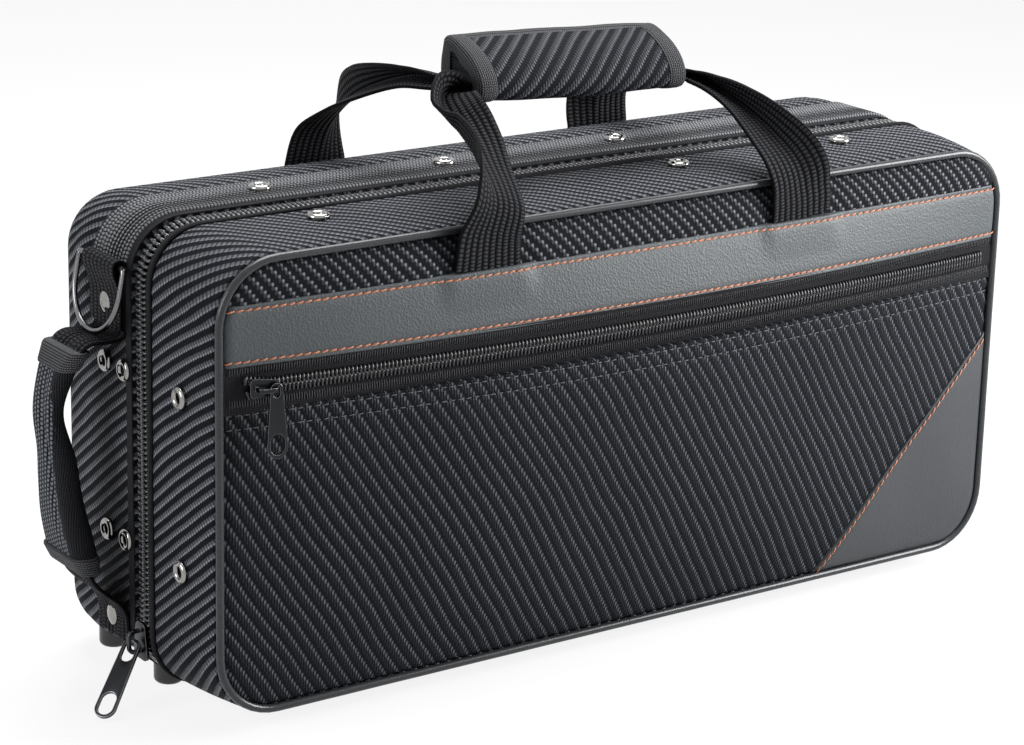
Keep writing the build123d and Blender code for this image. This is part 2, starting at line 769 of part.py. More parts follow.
def build():
    """Every piece by its node's name."""
    front_face = front_strap_face()
    front_tabs = strap_tabs(front_strap_spacing, front_face, -1)
    back_tabs = strap_tabs(back_strap_spacing, base_depth, 1)
    pillow = padded_front(0)
    raised = padded_front(strip_thickness)
    patch_pillow = padded_front(patch_thickness)
    left_strap = end_strap()
    grip = end_grip_form(0)
    unbound = (end_grip_bottom + end_grip_binding, end_grip_top - end_grip_binding)
    binding = end_grip_form(end_grip_binding_thickness) - grip - span(wide, (0, base_depth), unbound)
    rivet_seat = lid_taper(top_rivet_front_y - tubular_diameter / 2, case_height, lid_front_height)
    tabs = at_both_ends(ring_tab())
    rings = at_both_ends(ring())
    pieces = {
        "base_shell": base_shell(),
        "base_zip_tape": zip_tape(base_form, 1),
        "base_zip_teeth": zip_coil(base_form, 1),
        "hinge_strip": hinge_strip() - lid_form(0),
        "feet": feet(),
        "webbing_band": band(),
        "ring_tab_left": tabs[0],
        "ring_tab_right": tabs[1],
        "tab_rivets": tab_rivets(),
        "top_rivets_base": top_rivets(band_middle, case_height + webbing_thickness),
        "end_rivets_base": base_end_rivets(),
        "back_strap_tabs": back_tabs,
        "instrument_insert": instrument_insert(),
        "end_handle_strap": left_strap,
        "end_handle_grip": grip - left_strap,
        "end_handle_binding": binding,
        "lid_shell": lid_shell(),
        "lid_zip_tape": zip_tape(lid_form, -1),
        "lid_zip_teeth": zip_coil(lid_form, -1),
        "piping": piping(),
        "upper_panel": height_band(pillow, strip_top, dome_top) - front_tabs,
        "trim_strip": height_band(raised, strip_bottom, strip_top) - front_tabs,
        "pocket_zip_tape": pocket_tape(),
        "pocket_zip_teeth": pocket_coil(),
        "pocket_panel": height_band(pillow, dome_bottom, pocket_top) - patch_outline(),
        "corner_patch": height_band(patch_pillow, dome_bottom, pocket_top) & patch_outline(),
        "top_rivets_lid": top_rivets(-top_rivet_front_y, middle_height + rivet_seat),
        "end_rivets_lid": lid_end_rivets(),
        "front_strap_tabs": front_tabs,
        "lid_pad": lid_pad(),
        "front_strap": strap(front_strap_spacing, front_face, -1),
        "handle_wrap": handle_wrap(),
        "wrap_binding": wrap_binding(),
        "back_strap": strap(back_strap_spacing, base_depth, 1),
        "ring_left": rings[0],
        "ring_right": rings[1],
        "main_slider": main_slider(),
        "main_pull": main_pull(),
        "pocket_slider": pocket_slider(),
        "pocket_pull": pocket_pull(),
    }
    return {name: Compound(list(made)) if isinstance(made, list) else made for name, made in pieces.items()}


def placed(pieces):
    """Moves the whole case so that its origin is at the middle of its box's underside."""
    box = Compound([shape for shape in pieces.values()]).bounding_box()
    base = Vector(box.center().X, box.center().Y, box.min.Z)
    return base, {name: Pos(-base.X, -base.Y, -base.Z) * shape for name, shape in pieces.items()}


origin, nodes = placed(build())
os.makedirs("parts", exist_ok=True)
for node, shape in nodes.items():
    export_step(shape, f"parts/{node}.step")
print("origin in the shells' frame:", origin)
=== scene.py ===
"""A zipped, padded instrument case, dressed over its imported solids."""

import json
from functools import partialmethod
from math import cos, hypot, pi, radians, sin

import bmesh
import bpy
import numpy as np
from mathutils import Matrix, Vector, noise

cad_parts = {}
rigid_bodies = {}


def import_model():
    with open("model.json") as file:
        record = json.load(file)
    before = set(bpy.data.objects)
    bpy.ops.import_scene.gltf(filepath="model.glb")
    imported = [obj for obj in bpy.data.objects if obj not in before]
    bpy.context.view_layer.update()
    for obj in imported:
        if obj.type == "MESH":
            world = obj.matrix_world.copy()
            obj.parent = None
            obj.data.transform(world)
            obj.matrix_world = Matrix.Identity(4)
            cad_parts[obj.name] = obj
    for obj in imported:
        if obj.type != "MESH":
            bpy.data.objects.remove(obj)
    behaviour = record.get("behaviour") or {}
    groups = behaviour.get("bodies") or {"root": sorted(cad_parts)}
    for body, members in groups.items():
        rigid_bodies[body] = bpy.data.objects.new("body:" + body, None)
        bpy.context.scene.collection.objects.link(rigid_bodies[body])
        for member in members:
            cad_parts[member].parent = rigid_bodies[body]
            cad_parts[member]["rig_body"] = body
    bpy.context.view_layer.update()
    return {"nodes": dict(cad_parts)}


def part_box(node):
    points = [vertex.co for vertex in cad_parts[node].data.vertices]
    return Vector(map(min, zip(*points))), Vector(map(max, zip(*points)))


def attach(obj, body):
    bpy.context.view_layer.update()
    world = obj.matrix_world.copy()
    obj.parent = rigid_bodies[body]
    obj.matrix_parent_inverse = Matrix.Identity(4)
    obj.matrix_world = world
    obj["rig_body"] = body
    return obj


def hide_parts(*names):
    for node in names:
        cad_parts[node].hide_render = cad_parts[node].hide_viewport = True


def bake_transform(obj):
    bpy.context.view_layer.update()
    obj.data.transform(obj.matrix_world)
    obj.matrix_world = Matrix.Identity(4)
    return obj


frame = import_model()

# The base shell: foam board covered in a heavy twill, the deeper half of the case.
# The cover is drawn over the board, turned in at the rim and let down 4 mm there to take the zip.
# It is one skin, lofted from rounded hoops, with the cloth lifting between its rivets.
rim_low, rim_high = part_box("base_shell")
half_length = (rim_high.x - rim_low.x) * 500
half_height = (rim_high.z - rim_low.z) * 500
case_origin = np.array(((rim_low.x + rim_high.x) / 2, rim_low.y - 0.0003, rim_low.z))
base_depth, lid_depth, wall = 90, 66, 7
rim_radius, back_radius, least_radius = 28, 24, 4
rebate_depth, rebate_width = 4.2, 8
inner_step, inner_chamfer, flat_beyond = 9, 8, 12
zip_corner, zip_fade = 26, 8
band_far, band_middle, bare_low, bare_high = 46.5, 27.5, 50, 160
end_rivet_heights = (70, 156)


def node_maker(tree):
    """A function that adds nodes to a tree. Inputs take values, sockets or amounts, and it gives the outputs."""
    def add(kind, values=None, **settings):
        node = tree.nodes.new(kind)
        for key, value in settings.items():
            setattr(node, key, value)
        for key, value in (values or {}).items():
            value = getattr(value, "socket", value)
            if isinstance(value, bpy.types.NodeSocket):
                tree.links.new(value, node.inputs[key])
            else:
                node.inputs[key].default_value = value
        return node.outputs
    return add


class Amount:
    """A number in a shader. Arithmetic with it adds maths nodes."""

    def __init__(self, add, socket):
        self.add, self.socket = add, socket

    def maths(self, operation, *others):
        values = dict(enumerate((self, *others)))
        return Amount(self.add, self.add("ShaderNodeMath", values, operation=operation)[0])

    def __rsub__(self, other):
        return Amount(self.add, self.add("ShaderNodeMath", {0: other, 1: self}, operation="SUBTRACT")[0])

    __add__, __sub__ = partialmethod(maths, "ADD"), partialmethod(maths, "SUBTRACT")
    __mul__, __truediv__ = partialmethod(maths, "MULTIPLY"), partialmethod(maths, "DIVIDE")
    __pow__, sine = partialmethod(maths, "POWER"), partialmethod(maths, "SINE")
    floor, fract = partialmethod(maths, "FLOOR"), partialmethod(maths, "FRACT")
    least, most = partialmethod(maths, "MINIMUM"), partialmethod(maths, "MAXIMUM")


class Finish:
    """A new material, laid out on the cloth's coordinates or in the object's space."""

    def __init__(self, name, on_cloth=False):
        self.material = bpy.data.materials.new(name)
        self.material.use_nodes = True
        self.material.node_tree.nodes.clear()
        self.add = node_maker(self.material.node_tree)
        kind, settings = ("ShaderNodeUVMap", {"uv_map": "cloth"}) if on_cloth else ("ShaderNodeTexCoord", {})
        self.place = self.add(kind, **settings)["UV" if on_cloth else "Object"]

    def amount(self, kind, values, output=0, **settings):
        """One output of a new node."""
        return Amount(self.add, self.add(kind, values, **settings)[output])

    def cloud(self, scale, detail=2.0):
        """Noise between nought and one."""
        return self.amount("ShaderNodeTexNoise", {"Vector": self.place, "Scale": scale, "Detail": detail})

    def ramp(self, value, low, high, first=0.0, last=1.0):
        """First where the value is low, last where it is high, and evenly between them."""
        return self.amount("ShaderNodeMapRange", {0: value, 1: low, 2: high, 3: first, 4: last})

    def blend(self, share, low, high):
        """Colour between low and high, by a share of high."""
        return self.add("ShaderNodeMix", {0: share, 6: (*low, 1), 7: (*high, 1)}, data_type="RGBA")[2]

    def shades(self, share, colour, low, high):
        """One colour's shades, from low to high times its brightness."""
        return self.blend(share, [c * low for c in colour], [c * high for c in colour])

    def axes(self):
        """The place's first two coordinates."""
        return [Amount(self.add, socket) for socket in self.add("ShaderNodeSeparateXYZ", {0: self.place})[:2]]

    def surface(self, colour, rough, relief, lift, depth, **more):
        """The material itself, with relief raised by lift over a depth in metres."""
        bump = self.add("ShaderNodeBump", {"Strength": lift, "Distance": depth, "Height": relief})[0]
        values = {"Base Color": colour, "Roughness": rough, "Normal": bump}
        values |= {key.replace("_", " "): value for key, value in more.items()}
        self.add("ShaderNodeOutputMaterial", {"Surface": self.add("ShaderNodeBsdfPrincipled", values)[0]})
        return self.material


def twill(name, ground, thread, float_width, repeat, shift, share, body, turn=0.0):
    """Cloth of short glossy floats in columns. Each column's floats lie a shift lower than the last one's, and so
    make slanting ribs. Widths are in millimetres; the shift and the floats' length are shares of the repeat, and
    body is how bright a float is below the painted highlight at its upper end. The ground is the cloth's black;
    the thread colour is a painted glint, laid on the floats where they stand highest."""
    finish = Finish(name, on_cloth=True)
    if turn:
        turned = {"Vector": finish.place, "Angle": radians(turn)}
        finish.place = finish.add("ShaderNodeVectorRotate", turned, rotation_type="Z_AXIS")[0]
    drift = finish.add("ShaderNodeTexNoise", {"Vector": finish.place, "Scale": 16.0, "Detail": 2.0})["Color"]
    off = finish.add("ShaderNodeVectorMath", {0: drift, 1: (0.5, 0.5, 0.5)}, operation="SUBTRACT")[0]
    finish.place = finish.add(
        "ShaderNodeVectorMath", {0: off, 1: (0.004, 0.004, 0), 2: finish.place}, operation="MULTIPLY_ADD")[0]
    x, y = finish.axes()
    column = x / (float_width / 1000)
    across = column.fract() - 0.5
    run = ((y / (repeat / 1000) + column.floor() * shift).fract() / share).least(1.0)
    height = (run * pi).sine().most(0.0) ** 0.55 * (1.0 - across * across * 2.7)
    plies = ((run * 2.2 + across) * (2 * pi)).sine() * height * 0.05
    weft = ((y * (2 * pi * 1000 / 1.1)).sine() + 1.0) * 0.1
    relief = (height + plies).most(weft)
    # Painted glint: the colour follows the floats' height, lightest on their tops.
    painted_glint = finish.ramp(relief, 0.2, 0.85)
    uneven = finish.cloud(420.0, 4.0) * 0.9 + finish.cloud(9.0, 1.0) * 0.5
    # Painted highlight: each float is lit at its upper end, and only body bright below it.
    tone = painted_glint * finish.ramp(run, 0.55, 0.82, body) * (uneven + 0.35)
    return finish.surface(finish.blend(tone, ground, thread), 0.75 - painted_glint * 0.3, relief, 0.8, 0.0009,
                          Specular_IOR_Level=0.06)


def clamped(value):
    return min(max(value, 0), 1)


def bulge(distance, reach):
    """One at no distance, and soon nought beyond the reach."""
    return np.exp(-((distance / reach) ** 2))


def with_y(line, y=0):
    """Points of (x, y, z) from points of (x, z)."""
    return np.insert(np.asarray(line, float), 1, y, axis=1)


def unit_rows(vectors):
    return vectors / np.maximum(np.linalg.norm(vectors, axis=1), 1e-6)[:, None]


def outline(half_long, half_high, radius, finer=1):
    """Rounded rectangle in x and z, from the middle of the underside round by the left end and back."""
    radius = max(radius, least_radius)
    a, b = half_long - radius, half_high - radius
    sides = [((0, -half_high), (-a, -half_high), 27), ((-half_long, -b), (-half_long, b), 44),
             ((-a, half_high), (a, half_high), 108), ((half_long, b), (half_long, -b), 44)]
    corners = [(-a, -b, 270), (-a, b, 180), (a, b, 90), (a, -b, 360)]
    points = []
    for (start, end, count), (x, z, first) in zip(sides, corners):
        points += [*np.linspace(start, end, count * finer, endpoint=False)]
        turns = np.radians(np.linspace(first, first - 90, 10 * finer, endpoint=False))
        points += [(x + radius * cos(turn), z + radius * sin(turn)) for turn in turns]
    points += [*np.linspace((a, -half_high), (0, -half_high), 27 * finer, endpoint=False)]
    return np.array(points) + (0, half_height)


def lengths_along(points, closed=False):
    """Distance along a line of points, in metres."""
    points = np.asarray(points, float)
    if closed:
        points = np.vstack([points, points[:1]])
    return np.concatenate([[0], np.cumsum(np.linalg.norm(np.diff(points, axis=0), axis=1))]) / 1000


def shown(name, data):
    """Object in the scene."""
    made = bpy.data.objects.new(name, data)
    bpy.context.scene.collection.objects.link(made)
    return made


def new_mesh(name, points, faces, corner_uvs=None):
    """Smooth mesh from points in metres, its faces turned outwards."""
    mesh = bpy.data.meshes.new(name)
    mesh.from_pydata(points, [], faces)
    if corner_uvs:
        mesh.uv_layers.new(name="cloth").data.foreach_set("uv", np.asarray(corner_uvs, np.float32).ravel())
    work = bmesh.new()
    work.from_mesh(mesh)
    bmesh.ops.recalc_face_normals(work, faces=work.faces)
    work.to_mesh(mesh)
    work.free()
    mesh.shade_smooth()
    return mesh


def lofted(name, hoops, uvs, finish, sharp=50, ring=False):
    """Closed skin over hoops of equally many points, in the case's own millimetres. It is capped at both ends, or
    joined in a ring, which takes one row of uvs more."""
    hoops = np.asarray(hoops, float)
    rows, count = hoops.shape[:2]
    faces, corners = [], []
    for row in range(rows if ring else rows - 1):
        here, there = row * count, (row + 1) % rows * count
        for k in range(count):
            after = (k + 1) % count
            faces.append((here + k, here + after, there + after, there + k))
            corners += [uvs[row][k], uvs[row][k + 1], uvs[row + 1][k + 1], uvs[row + 1][k]]
    for row, order in () if ring else ((0, range(count)), (rows - 1, range(count - 1, -1, -1))):
        faces.append(tuple(row * count + k for k in order))
        corners += [uvs[row][k] for k in order]
    mesh = new_mesh(name, (hoops.reshape(-1, 3) / 1000 + case_origin).tolist(), faces, corners)
    mesh.materials.append(finish)
    mesh.set_sharp_from_angle(angle=radians(sharp))
    return shown(name, mesh)


def stands_for(piece, slot, *nodes):
    """The piece takes these nodes' place, on their body; slot is not used."""
    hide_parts(*nodes)
    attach(piece, frame["nodes"][nodes[0]]["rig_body"])
    return piece


def shell_skin(name, profile, size_at, rise, way):
    """Shell from hoops set by a profile of (y, inset, rebate inset); its end face carries the cloth laid flat."""
    rim_line = outline(half_length, half_height, rim_radius)
    around = lengths_along(rim_line, closed=True)
    corner = np.clip((np.abs(rim_line[:, 0]) - (half_length - zip_corner)) / zip_fade, 0, 1)
    zip_share = np.where(rim_line[:, 1] < rim_radius, corner, 1)[:, None]
    hoops, uvs, depth_run = [], [], 0
    for step, (y, inset, rebate) in enumerate(profile):
        long, high, radius = size_at(y)
        plain, sunk = (outline(long - off, high - off, radius - off) for off in (inset, rebate))
        ring = plain + (sunk - plain) * zip_share
        outward = unit_rows(ring - outline(long - inset - inner_step, high - inset - inner_step, radius))
        lifts = np.array([rise(x, y, z, inset) for x, z in ring])
        hoops.append(with_y(ring + outward * lifts[:, None], y))
        flat = inset > flat_beyond
        if step:
            last_y, last_inset, _ = profile[step - 1]
            depth_run += hypot(y - last_y, inset - last_inset)
            if flat != (last_inset > flat_beyond):
                hoops.insert(-1, hoops[-2] + (hoops[-1] - hoops[-2]) * 0.03)
        for hoop in hoops[len(uvs):]:
            laid_flat = np.vstack([hoop, hoop[:1]])[:, [0, 2]] / 1000
            uvs.append(laid_flat if flat else [(-p, way * depth_run / 1000) for p in around])
    return lofted(name, hoops, uvs, case_cloth)


def rivet_dimples(places, reach):
    """How freely cloth lifts at a point: nought at a rivet, one well away from all of them."""
    def freedom(point):
        return 1 - bulge(min(hypot(*(point[i] - place[i] for i in range(3))) for place in places), reach)
    return freedom


def turned_in(way, depths, floor):
    """Profile from the rebate over the rim and down the inside, then in to the middle of the shell's floor."""
    rows = [(4.5, 0.1, 4.25), (1.2, 0.15, 4.3), (0.5, 0.7, 4.5), (0.3, 2.0, 5.0), (0.3, 5.4, 5.8), (0.9, 6.7, 6.7)]
    rows += [(y, wall, wall) for y in (*depths, floor - inner_chamfer)]
    rows += [(floor, inset, inset) for inset in (wall + inner_chamfer, 60, 108)]
    return [(way * y, inset, rebate) for y, inset, rebate in rows]


# The floats' light colour is painted glint over the cloth's near-black ground.
case_cloth = twill("case_twill", (0.003, 0.0035, 0.0055), (0.215, 0.225, 0.25), 2.3, 5.6, 0.06, 0.58, 0.28, 46)
base_rivets = [(side * half_length, y, z) for side in (-1, 1) for y in (14, 33) for z in end_rivet_heights]
base_freedom = rivet_dimples(base_rivets, 12)


def base_rise(x, y, z, inset):
    """Lift of the base's cover, none beneath the band, the straps' ends and the feet."""
    under_band = z > bare_high or z < bare_low
    if inset > 1 or y < 9 or z < 3 or under_band and y < band_far + 1:
        return 0
    start = band_far + 1 if under_band else rebate_width
    share = clamped((y - start) / (base_depth - back_radius - start))
    waves = noise.noise(Vector((x, y, z)) * 0.028) * 0.5
    return float(sin(pi * share) ** 0.8 * base_freedom((x, y, z)) * (1.0 + waves))


base_profile = [(base_depth, inset, inset) for inset in (108, 92, 76, 60, 46, 34)]
for turn in np.radians(np.linspace(0, 90, 10)):
    inset = back_radius * (1 - sin(turn))
    base_profile.append((base_depth - back_radius * (1 - cos(turn)), inset, inset))
base_profile += [(y, 0, 0) for y in np.linspace(base_depth - back_radius - 3, rebate_width + 1.6, 16)]
base_profile += [(8.3, 0.15, 0.2), (7.75, 0.2, 0.75), (7.45, 0.2, 1.8), (7.35, 0.2, 3.4), (7.1, 0.2, 4.2)]
base_profile += turned_in(1, (2, 20, 50), base_depth - wall)
base_cover = shell_skin("base_cover", base_profile, lambda y: (half_length, half_height, rim_radius), base_rise, 1)
stands_for(base_cover, "shell_cloth", "base_shell")

# The lid shell: the same board and twill, drawn in by 2 mm towards its front.
# The cover is turned into a soft fold beside the zip and puckers round its own rivets.
# Its front is hidden by the panels that are sewn on it.
lid_draw_in, front_radius = 2, 33
lid_rivets = [(x, -27, 2 * half_height) for x in (-162, -54, 54, 162)]
lid_rivets += [(side * half_length, -38, z) for side in (-1, 1) for z in end_rivet_heights]
lid_freedom = rivet_dimples(lid_rivets, 13)


def lid_size(y):
    """Half length, half height and corner radius at a depth, drawn in towards the lid's front."""
    share = clamped(-y / lid_depth)
    drawn = lid_draw_in * share
    return half_length - drawn, half_height - drawn, rim_radius + (front_radius - rim_radius) * share


def lid_rise(x, y, z, inset):
    """Lift of the lid's cover between the fold by the zip and the piping."""
    if inset > 1 or y > -9 or z < 3:
        return 0
    share = clamped((-y - 9) / (lid_depth - 10))
    waves = noise.noise(Vector((x, y + 40, z)) * 0.03) * 0.6
    return float(sin(pi * share**0.8) ** 0.7 * lid_freedom((x, y, z)) * (1.5 + waves))


lid_profile = [(-lid_depth, inset, inset) for inset in (108, 60, 20, 4, 1.2)] + [(-lid_depth + 0.5, 0.2, 0.2)]
lid_profile += [(y, 0, 0) for y in np.linspace(-lid_depth + 2, -rebate_width - 5.5, 19)]
lid_profile += [(-12.2, 0.5, 0.5), (-11.6, 0.35, 0.35), (-10.9, -0.35, -0.35), (-9.6, -0.7, -0.7)]
lid_profile += [(-8.2, -0.4, -0.4), (-7.5, 0.1, 0.4), (-7.2, 0.2, 1.8), (-7.1, 0.2, 3.4), (-6.9, 0.2, 4.2)]
lid_profile += turned_in(-1, (2, 20), lid_depth - wall)
lid_cover = shell_skin("lid_cover", lid_profile, lid_size, lid_rise, -1)
stands_for(lid_cover, "shell_cloth", "lid_shell")

# The cloth hinge: a strip of woven tape sewn under both shells.
# It is the only thing that joins them along the underside.
hinge_length, hinge_half_width, hinge_steps, hinge_bend = 2 * half_length - 64, 13, 40, 0.012


def ribbed_tape(name, ribs, width, dark, light, dash, lift=0.5, slant=0.9, offset=0.0):
    """Woven tape: lengthwise ribs of short dashes, slanting one way and the other in turn, with dark gaps."""
    finish = Finish(name, on_cloth=True)
    x, y = finish.axes()
    column = x / (width / ribs / 1000)
    across = column.fract() - 0.5
    parity = (column.floor() * 0.5).fract() * 4.0 - 1.0
    along = (y / (dash / 1000) + parity * (across * slant + offset)).fract()
    relief = (along * pi).sine() ** 0.6 * (1.0 - across * across * 4.0)
    share = finish.ramp(relief * (finish.cloud(1500.0) + 0.5), 0.3, 0.9)
    return finish.surface(finish.blend(share, dark, light), 0.6, relief, lift, 0.0006, Specular_IOR_Level=0.04)


def flat_loop(places, across, face, width, thickness, ribs, both=False):
    """Hoops of a flat band laid along places, its width along across and its thickness along face. Its face is
    raised by the ribs, and its back too if both are ribbed."""
    count = len(places)
    places, across, face = (np.broadcast_to(np.asarray(v, float), (count, 3))[:, None] for v in (places, across, face))
    ribs = np.asarray(ribs, float)[:, None]
    middle = places + across * (width * np.linspace(-0.5, 0.5, len(ribs)))[:, None]
    return np.concatenate([middle + face * (thickness + ribs), (middle - face * ribs * both)[:, ::-1]], axis=1)


def band_uvs(places, width, steps):
    """Cloth coordinates for flat_loop's hoops: across the band, then along it."""
    across = width / 1000 * np.linspace(-0.5, 0.5, steps)
    return [[(u, v) for u in (*across, *across[::-1], across[0])] for v in lengths_along(places)]


plain_tape = ribbed_tape("zip_tape_weave", 12, 9, (0.004, 0.004, 0.0045), (0.022, 0.022, 0.025), 1.1, 0.35)
hinge_places = [(0, y, -0.1) for y in np.linspace(-hinge_half_width, hinge_half_width, 15)]
hinge_hoops = flat_loop(hinge_places, (1, 0, 0), (0, 0, -1), hinge_length, 1.0, [0] * hinge_steps)
hinge_uvs = [[(v, u) for u, v in row] for row in band_uvs(hinge_places, hinge_length, hinge_steps)]
cloth_hinge = lofted("cloth_hinge", hinge_hoops, hinge_uvs, plain_tape)
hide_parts("hinge_strip")
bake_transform(cloth_hinge)

# The zip's two tapes: woven polyester, glued and sewn in the rims' rebates.
# They run from the underside's left corner up the end, over the top and down to its right corner.
# Each rim is faced with the same tape, and the lid's has a rolled edge.
zip_reach = half_length - 22
roll_out, roll_half_height, roll_half_width, roll_y, roll_sides = 0.3, 1.3, 1.5, -10.6, 12


def rim_run(inset, finer=1):
    """Points (x, z) along the zip's course, set in from the shells' rim, and their outward directions."""
    line = outline(half_length - inset, half_height - inset, rim_radius - inset, finer)
    further = inset + inner_step
    middle = outline(half_length - further, half_height - further, rim_radius - inset, finer)
    keep = (np.abs(line[:, 0]) > zip_reach - inset) | (line[:, 1] > rim_radius)
    return line[keep], unit_rows(line[keep] - middle[keep])


def round_hoops(places, first_way, other_way, sides):
    """Hoops of a cord along places, each an ellipse with these two half axes."""
    turns = np.linspace(0, 2 * pi, sides, endpoint=False)[:, None]
    places, first_way, other_way = (np.asarray(v, float)[:, None] for v in (places, first_way, other_way))
    return places + first_way * np.cos(turns) + other_way * np.sin(turns)


def round_uvs(lengths, radius, sides):
    """Cloth coordinates for round_hoops' hoops: round the cord, then along it."""
    return [[(turn * radius / 1000, run) for turn in np.linspace(0, 2 * pi, sides + 1)] for run in lengths]


def rim_tape(name, inset, y, width, thickness):
    """Flat tape along the zip's course."""
    run, out = rim_run(inset)
    places = with_y(run, y)
    hoops = flat_loop(places, (0, 1, 0), with_y(out), width, thickness, [0] * 6)
    return lofted(name, hoops, band_uvs(places, width, 6), plain_tape)


for side, body in ((1, "base"), (-1, "lid")):
    tape = rim_tape(f"{body}_tape", rebate_depth, side * 3.9, 6.6, 0.9)
    stands_for(tape, "zip_tape", f"{body}_zip_tape")
for body, y, width in (("base", 10, 5.2), ("lid", -8.5, 1.8)):
    facing = rim_tape(f"{body}_rim_facing", 0, y, width, 0.7)
    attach(facing, body)
run, out = rim_run(0)
roll_hoops = round_hoops(with_y(run + out * roll_out, roll_y), with_y(out) * roll_half_height,
                         [(0, roll_half_width, 0)] * len(run), roll_sides)
lid_roll = lofted("lid_rim_roll", roll_hoops, round_uvs(lengths_along(run), 1.4, roll_sides), plain_tape)
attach(lid_roll, "lid")

# The zip's teeth: two coils of nylon wire sewn to the tapes, every loop a tooth.
# The teeth of one row stand between those of the other, and part below the slider.


def pieces_along_a_line():
    """Node tree that sets one piece at even steps along a line, turned to it and to a side direction."""
    tree = bpy.data.node_groups.new("pieces_along_a_line", "GeometryNodeTree")
    kinds = {"Line": "Geometry", "Piece": "Object", "Step": "Float", "Finish": "Material", "Unevenness": "Float"}
    for socket_name, kind in {**kinds, "Seed": "Int"}.items():
        tree.interface.new_socket(name=socket_name, in_out="INPUT", socket_type="NodeSocket" + kind)
    tree.interface.new_socket(name="Pieces", in_out="OUTPUT", socket_type="NodeSocketGeometry")
    add = node_maker(tree)
    given = add("NodeGroupInput")
    facing = add("GeometryNodeInputNamedAttribute", {"Name": "facing"}, data_type="FLOAT_VECTOR")
    curve = add("GeometryNodeMeshToCurve", {"Mesh": given["Line"]})
    even = add("GeometryNodeCurveToPoints", {"Curve": curve[0], "Length": given["Step"]}, mode="LENGTH")
    axes = {0: even["Tangent"], 1: facing[0]}
    turned = add("FunctionNodeAxesToRotation", axes, primary_axis="X", secondary_axis="Z")
    most = add("ShaderNodeCombineXYZ", {0: given["Unevenness"], 2: given["Unevenness"]})
    least = add("ShaderNodeVectorMath", {0: most[0], 1: (-1, -1, -1)}, operation="MULTIPLY")
    drawn = {0: least[0], 1: most[0], "Seed": given["Seed"]}
    wobble = add("FunctionNodeEulerToRotation", {0: add("FunctionNodeRandomValue", drawn, data_type="FLOAT_VECTOR")[0]})
    uneven = add("FunctionNodeRotateRotation", {0: turned[0], 1: wobble[0]}, rotation_space="LOCAL")
    piece = add("GeometryNodeObjectInfo", {"Object": given["Piece"]})
    placed = add("GeometryNodeInstanceOnPoints", {
        "Points": even["Points"], "Instance": piece["Geometry"], "Rotation": uneven[0]})
    real = add("GeometryNodeRealizeInstances", {"Geometry": placed[0]})
    finished = add("GeometryNodeSetMaterial", {"Geometry": real[0], "Material": given["Finish"]})
    add("NodeGroupOutput", {"Pieces": finished[0]})
    return tree


line_tree = pieces_along_a_line()


def baked(rough, name):
    """Smooth mesh of an object as its modifiers leave it, in the object's place."""
    graph = bpy.context.evaluated_depsgraph_get()
    mesh = bpy.data.meshes.new_from_object(rough.evaluated_get(graph), depsgraph=graph)
    bpy.data.objects.remove(rough)
    mesh.name = name
    mesh.shade_smooth()
    return mesh


def set_along(name, lines, facings, unit, step, finish, body, unevenness=0.0):
    """Plain mesh of units set along lines of points in millimetres. A unit's X follows its line, its Z faces out."""
    edges, first = [], 0
    for line in lines:
        edges += [(first + k, first + k + 1) for k in range(len(line) - 1)]
        first += len(line)
    mesh = bpy.data.meshes.new(name + "_course")
    mesh.from_pydata((np.concatenate(lines) / 1000 + case_origin).tolist(), edges, [])
    outs = np.concatenate(facings).astype(float)
    mesh.attributes.new("facing", "FLOAT_VECTOR", "POINT").data.foreach_set("vector", outs.ravel())
    course = shown(name + "_course", mesh)
    modifier = course.modifiers.new("set_along", "NODES")
    modifier.node_group = line_tree
    wanted = {"Piece": unit, "Step": step / 1000, "Finish": finish, "Unevenness": unevenness, "Seed": 7}
    for item in line_tree.interface.items_tree:
        if item.name in wanted and item.in_out == "INPUT":
            modifier[item.identifier] = wanted[item.name]
    piece = shown(name, baked(course, name))
    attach(piece, body)
    return piece


def unit_mesh(name, rows, sides=6, flatten=1.0):
    """Small closed tube along rows of (x, y, z, radius) in millimetres, to be set along a line and never shown."""
    path = [Vector(row[:3]) for row in rows]
    points, faces = [], []
    last = len(path) - 1
    for k, place in enumerate(path):
        ahead = (path[min(k + 1, last)] - path[max(k - 1, 0)]).normalized()
        side = ahead.cross(Vector((0, 0, 1)) if abs(ahead.z) < 0.9 else Vector((1, 0, 0))).normalized()
        top = side.cross(ahead)
        for turn in (2 * pi * j / sides for j in range(sides)):
            points.append((place + side * cos(turn) * rows[k][3] + top * sin(turn) * rows[k][3] * flatten) / 1000)
    for here in range(0, last * sides, sides):
        for j in range(sides):
            after = (j + 1) % sides
            faces.append((here + j, here + after, here + sides + after, here + sides + j))
    faces += [tuple(range(sides - 1, -1, -1)), tuple(last * sides + j for j in range(sides))]
    return bpy.data.objects.new(name, new_mesh(name, [tuple(p) for p in points], faces))


def nylon(name, colour, roughness):
    """Smooth drawn nylon with a faint haze, as zip coils and thread have."""
    finish = Finish(name)
    haze = finish.cloud(700.0)
    return finish.surface(finish.shades(haze, colour, 0.7, 1.3), haze * 0.2 + (roughness - 0.1), haze, 0.15, 0.0002,
                          Specular_IOR_Level=0.45)


